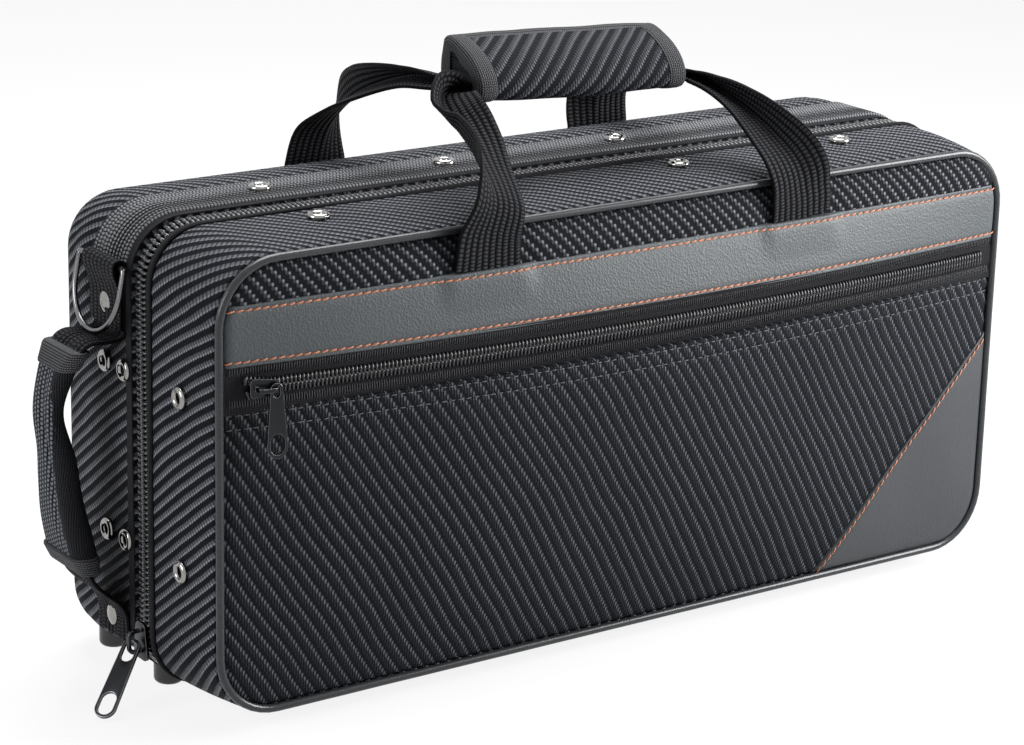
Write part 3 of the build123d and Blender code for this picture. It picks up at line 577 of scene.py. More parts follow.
coil_finish = nylon("zip_coil_nylon", (0.022, 0.023, 0.026), 0.2)
tooth_step, tooth_inset, parting_height, parting = 2.75, 3.3, 26, 1.6
coil_loop = [(0.25, 4.6, 0.3, 0.75), (0.3, 4.7, 1.6, 0.85), (0.1, 4.0, 2.35, 0.9), (0, 2.2, 2.6, 0.95),
             (0, 0.6, 2.55, 1.05), (0, -0.45, 1.9, 1.2), (0, -0.45, 1.0, 1.15), (0, 0.8, 0.45, 0.9),
             (-0.2, 3.4, 0.3, 0.75)]
for side, body in ((1, "base"), (-1, "lid")):
    tooth = unit_mesh(f"{body}_tooth", [(x, side * y, z, radius) for x, y, z, radius in coil_loop])
    run, out = rim_run(tooth_inset, 2)
    parted = np.clip((parting_height - run[:, 1]) / parting_height, 0, 1) * (run[:, 0] < 0)
    first = int(side < 0)
    line, facing = with_y(run, side * parting * parted)[first:], with_y(out)[first:]
    teeth = set_along(f"{body}_teeth", [line], [facing], tooth, tooth_step, coil_finish, body)
    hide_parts(f"{body}_zip_teeth")

# Webbing: heavy black polypropylene, 38 mm wide, with ten lengthwise ribs.
# One narrower length lies beside the zip, over the top and down both ends as far as the rings.
webbing_width, webbing_thickness, webbing_ribs = 38, 1.6, 10
webbing_steps = 4 * webbing_ribs + 1
webbing = ribbed_tape(
    "black_webbing", webbing_ribs, webbing_width, (0.002, 0.002, 0.0024), (0.028, 0.029, 0.033), 1.9, 0.9, 0.25, 0.1)
band_width, band_line = 33, 29
band_webbing = ribbed_tape(
    "band_webbing", 11, band_width, (0.003, 0.003, 0.0035), (0.15, 0.155, 0.165), 1.9, 0.9, 0.3, 0.1)
ring_height, tab_end = 207, 176.5


def webbing_piece(name, places, across, face, width=webbing_width, thickness=webbing_thickness, both=False,
                  finish=webbing):
    """Ribbed webbing laid with its underside on a line of places, or with ribs on both of its faces."""
    ribs = 0.45 * np.abs(np.sin(pi * webbing_ribs * np.linspace(0, 1, webbing_steps))) ** 0.7 - 0.25
    ribs[[0, -1]] = -0.45
    hoops = flat_loop(places, across, face, width, thickness, ribs, both)
    return lofted(name, hoops, band_uvs(places, width, webbing_steps), finish, 70)


rim = outline(half_length, half_height, rim_radius, 2)
rim_out = unit_rows(rim - outline(half_length - inner_step, half_height - inner_step, rim_radius - inner_step, 2))
over_top = rim[:, 1] > ring_height + 1
top_band = webbing_piece("top_band", with_y(rim[over_top], band_line), (0, 1, 0), with_y(rim_out[over_top]),
                         band_width, finish=band_webbing)
stands_for(top_band, "black_webbing", "webbing_band")

# The ring tabs: the band's two ends, each folded round a ring's straight bar and laid back on itself.
# A domed rivet through both plies holds them to the shell.
ring_bar_x, tab_width, tab_thickness, bar_wrap = half_length + 2.1 + webbing_thickness, 31, 1.45, 3.7


def smooth_line(points, count):
    """Evenly numbered points of a smooth line through the given ones."""
    points = np.asarray(points, float)
    ends = np.vstack([2 * points[0] - points[1], points, 2 * points[-1] - points[-2]])
    made = []
    for step in np.linspace(0, len(points) - 1, count):
        k = min(int(step), len(points) - 2)
        t = step - k
        p0, p1, p2, p3 = ends[k:k + 4]
        bends = (2 * p0 - 5 * p1 + 4 * p2 - p3) * t**2 + (3 * p1 - p0 - 3 * p2 + p3) * t**3
        made.append(0.5 * (2 * p1 + (p2 - p0) * t + bends))
    return np.array(made)


def flow_along(line):
    """Direction of a line at each of its points."""
    return unit_rows(np.gradient(line, axis=0))


outer = half_length + 2 * webbing_thickness + 0.25
tab_course = [(half_length, z) for z in (tab_end, 190, 200, 205.5)]
for turn in np.radians(range(15, 181, 15)):
    tab_course.append((ring_bar_x - bar_wrap * cos(turn), ring_height + bar_wrap * sin(turn)))
tab_course += [(ring_bar_x + 3.3, 203.5), (ring_bar_x + 1.6, 199), (outer + 0.4, 194)]
tab_course += [(outer, 188), (outer, tab_end - 0.3)]
tab_line = smooth_line(tab_course, 44)
for side, node in ((-1, "ring_tab_left"), (1, "ring_tab_right")):
    places = with_y(tab_line * (side, 1), band_middle)
    inwards = [(side * dz, 0, -dx) for dx, dz in flow_along(tab_line)]
    tab = webbing_piece(f"{node}_fold", places, (0, 1, 0), inwards, tab_width, tab_thickness)
    stands_for(tab, "black_webbing", node)

# The bright metal: nickel-plated steel rings, hollow rivets with rolled heads, and solid domed rivets.
# All of them are bought in. The rivets' solids are shown as they are, plated; the rings are of thinner wire.
ring_wire, ring_half, ring_drop, ring_lean, ring_shift, ring_sides = 1.4, (tab_width + 12.5) / 2, 33.5, 0.2, 2.2, 14


def metal(name, colour, roughness, smear):
    """Plated metal with cloudy polish and fine handling marks."""
    finish = Finish(name)
    cloud = finish.cloud(160.0, 3.0)
    rough = (cloud + finish.cloud(1800.0) * 0.5) * smear + roughness
    return finish.surface(finish.shades(cloud, colour, 0.85, 1), rough, cloud, 0.08, 0.0002, Metallic=1.0)


def show_solid(node, finish):
    """A node's own solid, shown as it is."""
    mesh = frame["nodes"][node].data
    mesh.materials.clear()
    mesh.materials.append(finish)
    mesh.shade_smooth()
    mesh.set_sharp_from_angle(angle=radians(50))


nickel = metal("bright_nickel", (0.3, 0.296, 0.285), 0.08, 0.08)
dark_nickel = metal("dark_nickel", (0.17, 0.17, 0.175), 0.16, 0.1)
for node in ("tab_rivets", "top_rivets_base", "end_rivets_base", "top_rivets_lid", "end_rivets_lid"):
    show_solid(node, nickel)
bar_end = [(-ring_half - 0.3, -5), (-ring_half, -1.2), (-ring_half + 0.6, -0.1), (-ring_half, 0)]
ring_course = [(-ring_half, 0), (-ring_half * 0.5, 0), (ring_half * 0.5, 0), *((-y, z) for y, z in bar_end[-2::-1])]
for turn in np.linspace(0.12, pi - 0.12, 15):
    ring_course.append((ring_half * 1.02 * cos(turn), -ring_drop + ring_half * 1.02 * (1 - sin(turn))))
ring_line = smooth_line(ring_course + bar_end, 120)[:-1]
ring_flow = unit_rows(np.roll(ring_line, -1, axis=0) - np.roll(ring_line, 1, axis=0)) * ring_wire
ring_uvs = round_uvs(lengths_along(ring_line, closed=True), ring_wire, ring_sides)
for side, node in ((-1, "ring_left"), (1, "ring_right")):
    places = [(side * (ring_bar_x - z * ring_lean), band_middle + ring_shift + y, ring_height + z)
              for y, z in ring_line]
    outwards = [(0, -dz, dy) for dy, dz in ring_flow]
    hoops = round_hoops(places, outwards, [(side * ring_wire, 0, 0)] * len(places), ring_sides)
    stands_for(lofted(f"{node}_wire", hoops, ring_uvs, dark_nickel, ring=True), "nickel", node)

# The feet: moulded black studs with a rivet up through each.
# They keep the case's underside and its cloth hinge off the ground.
rubber = Finish("moulded_rubber")
grit = rubber.cloud(1200.0)
rubber_black = rubber.blend(grit, (0.006, 0.006, 0.006), (0.016, 0.016, 0.017))
show_solid("feet", rubber.surface(rubber_black, grit * 0.2 + 0.22, grit, 0.2, 0.0002))

# The piping: a 4 mm plastic cord in smooth grey vinyl, sewn round the lid's front edge.
# Its two ends meet in the middle of the underside.
front_half_length, front_half_height = half_length - lid_draw_in, half_height - lid_draw_in
piping_radius, piping_sides = 2, 14


def vinyl(name, deep, pale, grain, roughness, lift):
    """Vinyl with a printed leather grain and a slightly cloudy colour."""
    finish = Finish(name)
    cells = finish.amount(
        "ShaderNodeTexVoronoi", {"Vector": finish.place, "Scale": grain, "Randomness": 1.0}, "Distance")
    fine = finish.cloud(grain * 2.3, 4.0)
    relief = cells * 0.7 + fine * 0.5
    tone = finish.cloud(14.0) * 0.6 + relief * 0.4
    return finish.surface(finish.blend(tone, deep, pale), fine * 0.15 + roughness, relief, lift, 0.0004,
                          Specular_IOR_Level=0.3)


cord_vinyl = vinyl("piping_vinyl", (0.014, 0.016, 0.018), (0.029, 0.032, 0.035), 520.0, 0.18, 0.02)
edge = outline(front_half_length - piping_radius, front_half_height - piping_radius, front_radius - piping_radius)
edge[0, 0] -= 0.1
edge = np.vstack([edge, [(0.1, edge[0, 1])]])
radii = np.array([piping_radius + 0.06 * noise.noise(Vector((x, 0, z)) * 0.05) for x, z in edge])[:, None]
edge_out = [(-dz, 0, dx) for dx, dz in flow_along(edge)]
piping_hoops = round_hoops(with_y(edge, -lid_depth - piping_radius), edge_out * radii, (0, 1, 0) * radii, piping_sides)
piping_uvs = round_uvs(lengths_along(edge), piping_radius, piping_sides)
piping = lofted("edge_piping", piping_hoops, piping_uvs, cord_vinyl)
stands_for(piping, "piping_vinyl", "piping")

# The lid's front: foam under twill, swelling to 20 mm above the pocket's middle and sewn down at the piping.
# The upper panel fills the space over the strip; the pocket is a second, fuller panel below its zip.
dome_half_length, dome_low, dome_high, dome_corner = front_half_length - 4, 6, 2 * half_height - 6, front_radius - 4
pocket_top, strip_bottom, strip_top = 156, 177, 206.5
hem_drops, edge_steps = (2.2, 9), (0.9, 0.6, 0.35, 0.15, 0.02)
swell_heights = (dome_low, 48, 111, pocket_top, 178, 203, dome_high)
swell_shares = (0, 0.55, 0.97, 0.95, 0.68, 0.34, 0)
swell_slopes = np.gradient(swell_shares, swell_heights)
swell, panel_edge = 20, 2
strap_places, strap_press = (-97, 97), 30
# Both twills have dimmer floats than the case's, the pocket's dimmest: painted shade, for the lid's front stands in
# shade. Their floats' light colour is painted glint, as on the case.
front_cloth = twill("front_twill_painted_shade", (0.004, 0.0045, 0.006), (0.175, 0.184, 0.206), 1.9, 8.0, 0.29, 0.56, 0.12)
pocket_cloth = twill("pocket_twill_painted_shade", (0.004, 0.0045, 0.006), (0.1, 0.107, 0.124), 1.4, 10.6, 0.205, 0.7, 0.06)


def swell_share(z):
    """Share of the full swell at a height, on a smooth line through the sewn heights."""
    z = min(max(z, dome_low), dome_high)
    k = min(int(np.searchsorted(swell_heights, z, side="right")) - 1, len(swell_heights) - 2)
    gap = swell_heights[k + 1] - swell_heights[k]
    t = (z - swell_heights[k]) / gap
    below = swell_shares[k] * (1 + 2 * t) + gap * swell_slopes[k] * t
    above = swell_shares[k + 1] * (3 - 2 * t) - gap * swell_slopes[k + 1] * (1 - t)
    return below * (1 - t) ** 2 + above * t**2


def front_y(x, z):
    """The swollen front, before any panel's own thickness."""
    return -(lid_depth + panel_edge + swell * swell_share(z) * (1 - (x / dome_half_length) ** 2))


def front_reach(z):
    """Half the front's length at a height, inside its rounded corners."""
    over = max(dome_low + dome_corner - z, z - (dome_high - dome_corner), 0)
    return dome_half_length - dome_corner + (dome_corner**2 - min(over, dome_corner) ** 2) ** 0.5


def edge_roll(distance, reach, drop):
    """How far a panel's face falls towards a sewn edge."""
    return drop * (1 - (1 - clamped(1 - distance / reach) ** 2) ** 0.5)


def waves(x, z, across, seed, along, height):
    """Slack in a panel's cloth."""
    return height * noise.noise(Vector((x * across, seed, z * along)))


def panel(name, heights, face_y, finish, across=160, left=None):
    """Panel over the lid's front, from rows at given heights, with a flat back on the lid."""
    hoops, uvs = [], []
    for z, run in zip(heights, lengths_along([(0, face_y(0, z), z) for z in heights])):
        xs = np.linspace(left(z) if left else -front_reach(z), front_reach(z), across)
        hoops.append([(x, face_y(x, z), z) for x in xs] + [(x, -lid_depth - 0.02, z) for x in xs[::-1]])
        uvs.append([(x / 1000, run) for x in [*xs, *xs[::-1], xs[0]]])
    return lofted(name, hoops, uvs, finish)


def upper_y(x, z):
    """Upper panel: padded between the piping and the strip, and pressed down where the strap's ends lie."""
    border = min(dome_high - z, front_reach(z) - abs(x) + 0.5)
    puff = 2.2 * sin(pi * clamped((z - strip_top + 4) / (dome_high - strip_top + 5))) ** 0.8
    pressed = max(1 - (abs(abs(x) - strap_places[1]) / strap_press) ** 4, 0)
    puff += waves(x, z, 0.03, 1.7, 0.02, 0.5)
    return front_y(x, z) - puff * (1 - 0.7 * pressed) + edge_roll(border, 4, 1.6)


upper_panel = panel("upper_front_panel", np.linspace(strip_top - 1.5, dome_high - 0.02, 17), upper_y, front_cloth)
stands_for(upper_panel, "panel_cloth", "upper_panel")


def pocket_y(x, z):
    """Pocket: slack cloth over thin foam, with a turned edge at its mouth and shallow waves across it."""
    border = min(z - dome_low, front_reach(z) - abs(x) + 0.5)
    slack = waves(x, z, 0.011, 0.3, 0.014, 1.6) + waves(x, z, 0.03, 7.1, 0.02, 0.5)
    inner = clamped(border / 24) * clamped((pocket_top - z) / 20)
    hem = 0.45 * min(*(abs(z - (pocket_top - drop)) for drop in hem_drops), 1.4) - 0.6
    return (front_y(x, z) + slack * inner + edge_roll(border, 5, 1.7) - hem * (z > pocket_top - 12)
            + edge_roll(pocket_top - z, 0.9, 2.6))


pocket_rows = [*np.linspace(dome_low + 0.02, dome_low + 6, 6), *np.linspace(dome_low + 9, pocket_top - 12, 36)]
pocket_rows += [*np.linspace(pocket_top - 11, pocket_top - 1.2, 16), *(pocket_top - d for d in edge_steps)]
pocket_front = panel("pocket_front", pocket_rows, pocket_y, pocket_cloth)
stands_for(pocket_front, "panel_cloth", "pocket_panel")

# The trim strip: grained grey vinyl with turned edges, sewn over the upper panel's lower edge and the strap's ends.
# It is sewn with two rows of thick orange thread.
strip_vinyl = vinyl("grained_strip_vinyl", (0.027, 0.0315, 0.034), (0.056, 0.063, 0.067), 800.0, 0.42, 0.6)
seam_inset, seam_half_width, seam_step = 2.6, 0.9, 4.4


def strip_y(x, z):
    """Strip's face: thin, drawn down at its two seams, and raised over the strap's ends."""
    over_strap = max(0.5 + 0.5 * cos(pi * clamped((abs(x - place) - 18) / 12)) for place in strap_places)
    near_seam = min(abs(z - strip_top + seam_inset), abs(z - strip_bottom - seam_inset))
    edge_gap = min(z - strip_bottom, strip_top - z)
    puff = 0.5 * sin(pi * clamped(edge_gap / 12.5) / 2) + 1.5 * over_strap * clamped((z - 188) / 15)
    return (front_y(x, z) - 1.7 - puff + 0.4 * bulge(near_seam, seam_half_width)
            + edge_roll(edge_gap, 0.8, 1.3) + edge_roll(front_reach(z) - abs(x), 4, 2.2))


strip_rows = [strip_bottom + d for d in edge_steps[::-1]] + [*np.linspace(strip_bottom + 1.5, strip_top - 1.5, 27)]
trim_strip = panel("vinyl_strip", strip_rows + [strip_top - d for d in edge_steps], strip_y, strip_vinyl, 260)
stands_for(trim_strip, "grained_vinyl", "trim_strip")


def thread(name, colour):
    """Twisted sewing thread."""
    finish = Finish(name)
    twist = finish.amount("ShaderNodeTexWave", {"Vector": finish.place, "Scale": 420.0, "Distortion": 1.5}, 1,
                          bands_direction="DIAGONAL")
    share = twist * 0.5 + finish.cloud(90.0) * 0.5
    return finish.surface(finish.shades(share, colour, 0.6, 1.2), 0.6, twist, 0.5, 0.0002)


def stitch(name, length, radius, slant=0.0):
    """One stitch, arched over the cloth, with its ends drawn into it, lying a little across its seam."""
    arch = ((-0.5, -0.9, 0.55), (-0.4, 0, 0.9), (-0.15, 0.5, 1), (0.15, 0.5, 1), (0.4, 0, 0.9), (0.5, -0.9, 0.55))
    rows = [(length * share, slant * share * 2, radius * high, radius * thick) for share, high, thick in arch]
    return unit_mesh(name, rows, 6, 0.8)


def on_front(xs, z, face_y, lift=0.1):
    """Line of points on a front surface at one height, and the way the surface faces there."""
    facing = []
    for x in xs:
        slope_x = face_y(x + 1, z) - face_y(x - 1, z)
        slope_z = face_y(x, z + 0.5) - face_y(x, z - 0.5)
        facing.append(tuple(Vector((slope_x / 2, -1, slope_z)).normalized()))
    return [(x, face_y(x, z) - lift, z) for x in xs], facing


def sewn_rows(name, heights, face_y, inset, unit, step, finish, unevenness, count=200, lift=0.1):
    """Rows of stitches across the lid's front."""
    ends = [front_reach(z) - inset for z in heights]
    rows = [on_front(np.linspace(-end, end, count), z, face_y, lift) for z, end in zip(heights, ends)]
    set_along(name, *zip(*rows), unit, step, finish, "lid", unevenness)


orange_thread = thread("orange_thread", (0.4, 0.14, 0.068))
grey_thread = thread("grey_thread", (0.045, 0.046, 0.052))
strip_stitch = stitch("strip_stitch", 3.9, 0.47, 0.35)
sewn_rows("strip_seams", (strip_bottom + seam_inset, strip_top - seam_inset), strip_y, 2,
          strip_stitch, seam_step, orange_thread, 0.05)
hem_stitch = stitch("hem_stitch", 3.2, 0.34)
sewn_rows("pocket_hem_seams", [pocket_top - drop for drop in hem_drops], pocket_y, 3,
          hem_stitch, seam_step, grey_thread, 0.06)

# The corner patch: smooth grey vinyl over the pocket's lower right corner, bare, with one row of orange stitches.
# Its long edge is turned under and bows a little towards the pocket.
patch_ends = np.array([(dome_half_length + 5, dome_low + 122), (dome_half_length - 119, dome_low - 5)])
patch_vinyl = vinyl("patch_vinyl", (0.02, 0.022, 0.0245), (0.036, 0.039, 0.043), 700.0, 0.36, 0.25)
patch_bow, patch_slant, patch_seam_drop = np.array((-5, 5.1)), 0.71, 1.3
bow_shares = np.linspace(0, 1, 80)[:, None]
bow_line = patch_ends[0] * (1 - bow_shares) + patch_ends[1] * bow_shares
bow_line = bow_line + patch_bow * 4 * bow_shares * (1 - bow_shares)


def patch_left(z):
    """The patch's long edge at a height."""
    return float(np.interp(z, bow_line[::-1, 1], bow_line[::-1, 0]))


def patch_y(x, z):
    """Patch's face, just proud of the pocket, falling at its turned edge."""
    gap = (x - patch_left(z)) * patch_slant
    seam = 0.35 * bulge(gap - seam_inset, seam_half_width)
    return pocket_y(x, z) - 1.1 + seam + edge_roll(gap, 0.9, 1.3) + edge_roll(front_reach(z) - x, 2, 0.6)


patch_top = max(z for z in np.linspace(60, 128, 200) if patch_left(z) < front_reach(z) - 0.5)
patch_rows = np.linspace(dome_low + 0.02, patch_top, 70)
corner_patch = panel("corner_patch_vinyl", patch_rows, patch_y, patch_vinyl, 70, patch_left)
stands_for(corner_patch, "grained_vinyl", "corner_patch")
patch_line, patch_facing = [], []
for x, z in bow_line - (0, patch_seam_drop):
    spot, faced = on_front([x + seam_inset / patch_slant * 0.5 + 0.9], z, patch_y)
    if dome_low + 1 < z and spot[0][0] < front_reach(z + patch_seam_drop) - 2:
        patch_line += spot
        patch_facing += faced
patch_seam = set_along("patch_seam", [patch_line], [patch_facing], strip_stitch, seam_step, orange_thread, "lid", 0.05)

# The pocket's zip: a finer coil on a black tape, let in between the strip and the pocket's mouth.
# Both tape edges are sewn down with close upright stitches, and the zip bows outwards with the pocket.
zip_bow, zip_edge, zip_line = 15, 2.5, 167
zip_arc_radius = (dome_half_length**2 + zip_bow**2) / (2 * zip_bow)


def pocket_zip_y(x, z):
    """Tape's face along the bowed zip, a little hollow beside the coil."""
    arc = zip_arc_radius - (zip_arc_radius**2 - x * x) ** 0.5
    return -(lid_depth + zip_edge + zip_bow) + arc + 0.5 * bulge(abs(z - zip_line) - 6.5, 2.2)


zip_tape = panel("pocket_tape", np.linspace(pocket_top - 1.5, strip_bottom + 1.5, 31), pocket_zip_y, plain_tape, 120)
stands_for(zip_tape, "zip_tape", "pocket_zip_tape")
upright_arch = ((-2.2, -0.2, 0.2), (-1.4, 0.15, 0.28), (0, 0.25, 0.3), (1.4, 0.15, 0.28), (2.2, -0.2, 0.2))
upright = unit_mesh("upright_stitch", [(0, *row) for row in upright_arch], 5)
upright_step, tape_seams = 1.3, (159.6, 174.6)
tape_thread = thread("tape_thread", (0.022, 0.023, 0.026))
sewn_rows("tape_edge_stitches", tape_seams, pocket_zip_y, 3, upright, upright_step, tape_thread, 0.08,
          160, 0)
fine_step, fine_parting, parting_from, parting_run = 2.1, 2.2, -215, 13
fine_coil_finish = nylon("fine_coil_nylon", (0.016, 0.0165, 0.019), 0.26)
fine_loop = [(0.25, 3.5, 0.1, 0.46), (0.25, 3.5, 1.1, 0.54), (0.12, 2.9, 1.75, 0.56), (0, 1.6, 1.95, 0.58),
             (0, 0.4, 1.9, 0.66), (0, -0.3, 1.4, 0.78), (0, -0.3, 0.7, 0.74), (0, 0.8, 0.3, 0.56),
             (-0.15, 2.6, 0.1, 0.46)]
for way in (1, -1):
    tooth = unit_mesh(f"fine_tooth_{way + 1}", [(x, way * y, z, radius) for x, y, z, radius in fine_loop])
    start = -(dome_half_length - 10) + (0 if way > 0 else fine_step / 2)
    line, facing = on_front(np.linspace(start, dome_half_length - 11, 220), zip_line, pocket_zip_y, 0)
    line = [(x, y, z + way * fine_parting * clamped((parting_from - x) / parting_run)) for x, y, z in line]
    made = set_along(f"pocket_teeth_{way + 1}", [line], [facing], tooth, fine_step, fine_coil_finish, "lid")
    if way > 0:
        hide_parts("pocket_zip_teeth")

# The sliders and their pulls: die-cast zinc in a dark plating, with rounded edges drawn lighter as a painted highlight.
# Each pull is a flat, bare tab with an eye at its top and a slot at its foot.
# The pocket's pull is drawn longer and broader below its eye than its solid, and leans out a little.
pull_longer, pull_broader, pull_lean, eye_drop, eye_fade = 0.28, 0.14, 0.05, 0.006, 0.004


def merged_copy(name, node, finishes, whole_faces):
    """Scene object of a node's solid with its loose triangles joined, and its flat faces made whole if asked."""
    mesh = frame["nodes"][node].data.copy()
    work = bmesh.new()
    work.from_mesh(mesh)
    bmesh.ops.remove_doubles(work, verts=work.verts, dist=2e-6)
    if whole_faces:
        bmesh.ops.dissolve_limit(work, angle_limit=radians(2), verts=work.verts, edges=work.edges)
    work.to_mesh(mesh)
    work.free()
    mesh.materials.clear()
    for finish in finishes:
        mesh.materials.append(finish)
    return shown(name + "_rough", mesh)


# The second plating is lighter: a painted highlight for the rounded edges, where they would catch the light.
plating = [metal("dark_plating", (0.028, 0.029, 0.032), 0.2, 0.12),
           metal("painted_edge_highlight_plating", (0.17, 0.172, 0.18), 0.18, 0.12)]
for name, node, width in (("rim_zip_slider", "main_slider", 0.35), ("rim_zip_pull", "main_pull", 0.45),
                          ("pocket_zip_slider", "pocket_slider", 0.22), ("pocket_zip_pull", "pocket_pull", 0.3)):
    rough = merged_copy(name, node, plating, True)
    bevel = rough.modifiers.new("bevel", "BEVEL")
    # The bevel's faces take the second plating, the painted edge highlight.
    bevel.material = 1
    bevel.width, bevel.segments, bevel.limit_method, bevel.angle_limit = width / 1000, 3, "ANGLE", radians(38)
    mesh = baked(rough, name)
    mesh.set_sharp_from_angle(angle=radians(45))
    casting = stands_for(shown(name, mesh), "gunmetal", node)
pull_low, pull_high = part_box("pocket_pull")
for vertex in casting.data.vertices:
    below = max(pull_high.z - eye_drop - vertex.co.z, 0)
    vertex.co.z -= below * pull_longer
    vertex.co.y -= below * pull_lean
    vertex.co.x += (vertex.co.x - (pull_low.x + pull_high.x) / 2) * pull_broader * min(below / eye_fade, 1)

# The carrying straps: one length of webbing at the front and one at the back, each sewn down at both ends.
# The legs lean in and turn as they rise, and each is folded once along its middle where the wrap gathers it.
# A leg's rows are its places, the way it faces and how far it is folded.
strap_thickness, strap_gap, fold_height = 1.8, 1.3, 206
grip_height, wrap_half_length, bar_drop, bar_tilt, bar_y = 284, 63, -9, -2.6, 7.8
fold_narrow, fold_turn, fold_bend, leg_steps = 0.27, 176, 4.4, 70


def on_bar(way, y):
    """A leg's last rows, folded flat inside the wrap, which hangs a little lower at its right end."""
    inside = (way * wrap_half_length, way * 30, 0)
    return [(x, y, grip_height + bar_drop + bar_tilt * x / wrap_half_length, 0, 0, 1, 1) for x in inside]


def folded_section(fold):
    """Webbing seen end-on: flat at nought, folded once along its middle, one half on the other, at one."""
    reach = webbing_width / 2 * (1 - fold_narrow * fold)
    shares = np.linspace(-1, 1, webbing_steps)
    halves = strap_thickness / 2 - 0.25 + 0.35 * np.abs(np.sin(pi * webbing_ribs * (shares + 1) / 2)) ** 0.7
    fine = np.linspace(0, reach, 77)
    turn = radians(fold_turn) * fold * np.clip(fine / fold_bend, 0, 1)
    halfway = (turn[1:] + turn[:-1]) / 2
    along, high = (np.concatenate([[0], np.cumsum(wave(halfway) * fine[1])]) for wave in (np.cos, np.sin))
    upper, under = [], []
    for share, half in zip(shares, halves):
        u = abs(share) * reach
        a, h, angle = (-u, 0, 0) if share < 0 else (float(np.interp(u, fine, values)) for values in (along, high, turn))
        centre = np.array((a + reach / 2 * fold, h - 1.3 * fold))
        normal = np.array((-sin(angle), cos(angle))) * half
        upper.append(centre + normal)
        under.append(centre - normal)
    return upper + under[::-1]


def carrying_strap(name, left_rows, right_rows, node):
    """Webbing from one end at the case, through the wrap, to its other end."""
    hoops, places = [], []
    for mirrored, rows in ((1, left_rows), (-1, right_rows)):
        rows = np.array(rows, float)
        line, facing = np.hsplit(smooth_line(rows[:, :6], leg_steps), 2)
        ahead = flow_along(line)
        side = unit_rows(np.cross(facing, ahead))
        face = np.cross(ahead, side)
        folds = np.interp(np.linspace(0, len(rows) - 1, leg_steps), range(len(rows)), rows[:, 6])
        for k in range(leg_steps)[::mirrored]:
            hoops.append([line[k] + side[k] * a * mirrored + face[k] * h for a, h in folded_section(folds[k])])
            places.append(line[k])
    strap = lofted(name, hoops, band_uvs(places, webbing_width, webbing_steps), webbing, 70)
    stands_for(strap, "black_webbing", node)


front_face = front_y(strap_places[1] - webbing_width / 2, strip_top)
front_start, back_start = front_face - strap_gap, base_depth + strap_gap
front_left = [
    (-97, front_start, fold_height + 0.3, 0, -1, 0, 0), (-96, front_start - 0.2, 222, 0.05, -1, 0.05, 0.03),
    (-91, -74, 239, 0.2, -1, 0.3, 0.12), (-86, -56, 254, 0.1, -1, 0.6, 0.35),
    (-82.5, -39, 265.5, -0.4, -0.9, 0.7, 0.5), (-82, -26, 273, -0.8, -0.5, 0.8, 0.45),
    (-78, -16.5, 277.5, -0.6, -0.2, 1, 0.6), (-70, -10.5, 277.5, -0.1, 0, 1, 0.85)]
front_right = [
    (97, front_start, fold_height + 0.3, 0, -1, 0, 0), (95, front_start - 0.2, 220, 0.05, -1, 0.1, 0.05),
    (91, -71, 235, 0.1, -1, 0.4, 0.25), (87.5, -54, 248, 0.2, -0.9, 0.7, 0.5),
    (84, -36, 258.5, 0.4, -0.7, 0.9, 0.7), (79.5, -21, 265.5, 0.4, -0.35, 1, 0.85), (73, -11, 270, 0.2, -0.1, 1, 0.95)]
carrying_strap("front_carrying_strap", front_left + on_bar(-1, -bar_y), front_right + on_bar(1, -bar_y), "front_strap")
back_legs = []
for way in (-1, 1):
    back_legs.append([
        (way * 91, back_start, fold_height + 0.3, 0, 1, 0, 0), (way * 91, back_start + 0.2, 224, 0, 1, 0.1, 0.05),
        (way * 90, 87, 243, 0, 1, 0.4, 0.25), (way * 88, 70, 259, 0.3 * way, 0.9, 0.7, 0.45),
        (way * 85, 48, 270, 0.4 * way, 0.6, 0.9, 0.65), (way * 79.5, 25, 276 - way * 2, 0.3 * way, 0.3, 1, 0.85),
        (way * 72, 11.5, 276 - way * 2.4, 0.2 * way, 0.1, 1, 0.95), *on_bar(way, bar_y)])
carrying_strap("back_carrying_strap", *back_legs, "back_strap")

# The straps' sewn ends: the last 23 mm of each leg's webbing, laid flat on the case.
# The front pair lies under the strip, and the back pair is boxed and crossed with thread.
back_places, box_half_width, box_low, box_high = (-91, 91), 15.5, 184.5, 203.5


def joined(name, pieces):
    """Several like pieces made one mesh object."""
    with bpy.context.temp_override(active_object=pieces[0], selected_editable_objects=pieces):
        bpy.ops.object.join()
    pieces[0].name = name
    pieces[0].data.name = name
    return pieces[0]


for name, node, xs, y, face, low, thickness in (
    ("front_strap_end", "front_strap_tabs", strap_places, front_face - 0.1, (0, -1, 0), 183, webbing_thickness),
    ("back_strap_end", "back_strap_tabs", back_places, base_depth - 0.4, (0, 1, 0), 182, 2.2),
):
    lines = [[(x, y, z) for z in np.linspace(fold_height, low, 9)] for x in xs]
    ends = [webbing_piece(name, line, (1, 0, 0), face, thickness=thickness) for line in lines]
    stands_for(joined(name + "s", ends), "black_webbing", node)
box_lines = []
for place in back_places:
    left, right, face = place - box_half_width, place + box_half_width, base_depth + 2.1
    course = [(left, box_low), (right, box_low), (right, box_high), (left, box_high), (left, box_low)]
    for start, end in [*zip(course, course[1:]), (course[0], course[2]), (course[3], course[1])]:
        box_lines.append(with_y(np.linspace(start, end, 12), face))
box_facings = [[(0, 1, 0)] * 12] * 12
box_stitches = set_along("back_strap_box_stitches", box_lines, box_facings, hem_stitch, 3.9, grey_thread, "base", 0.05)

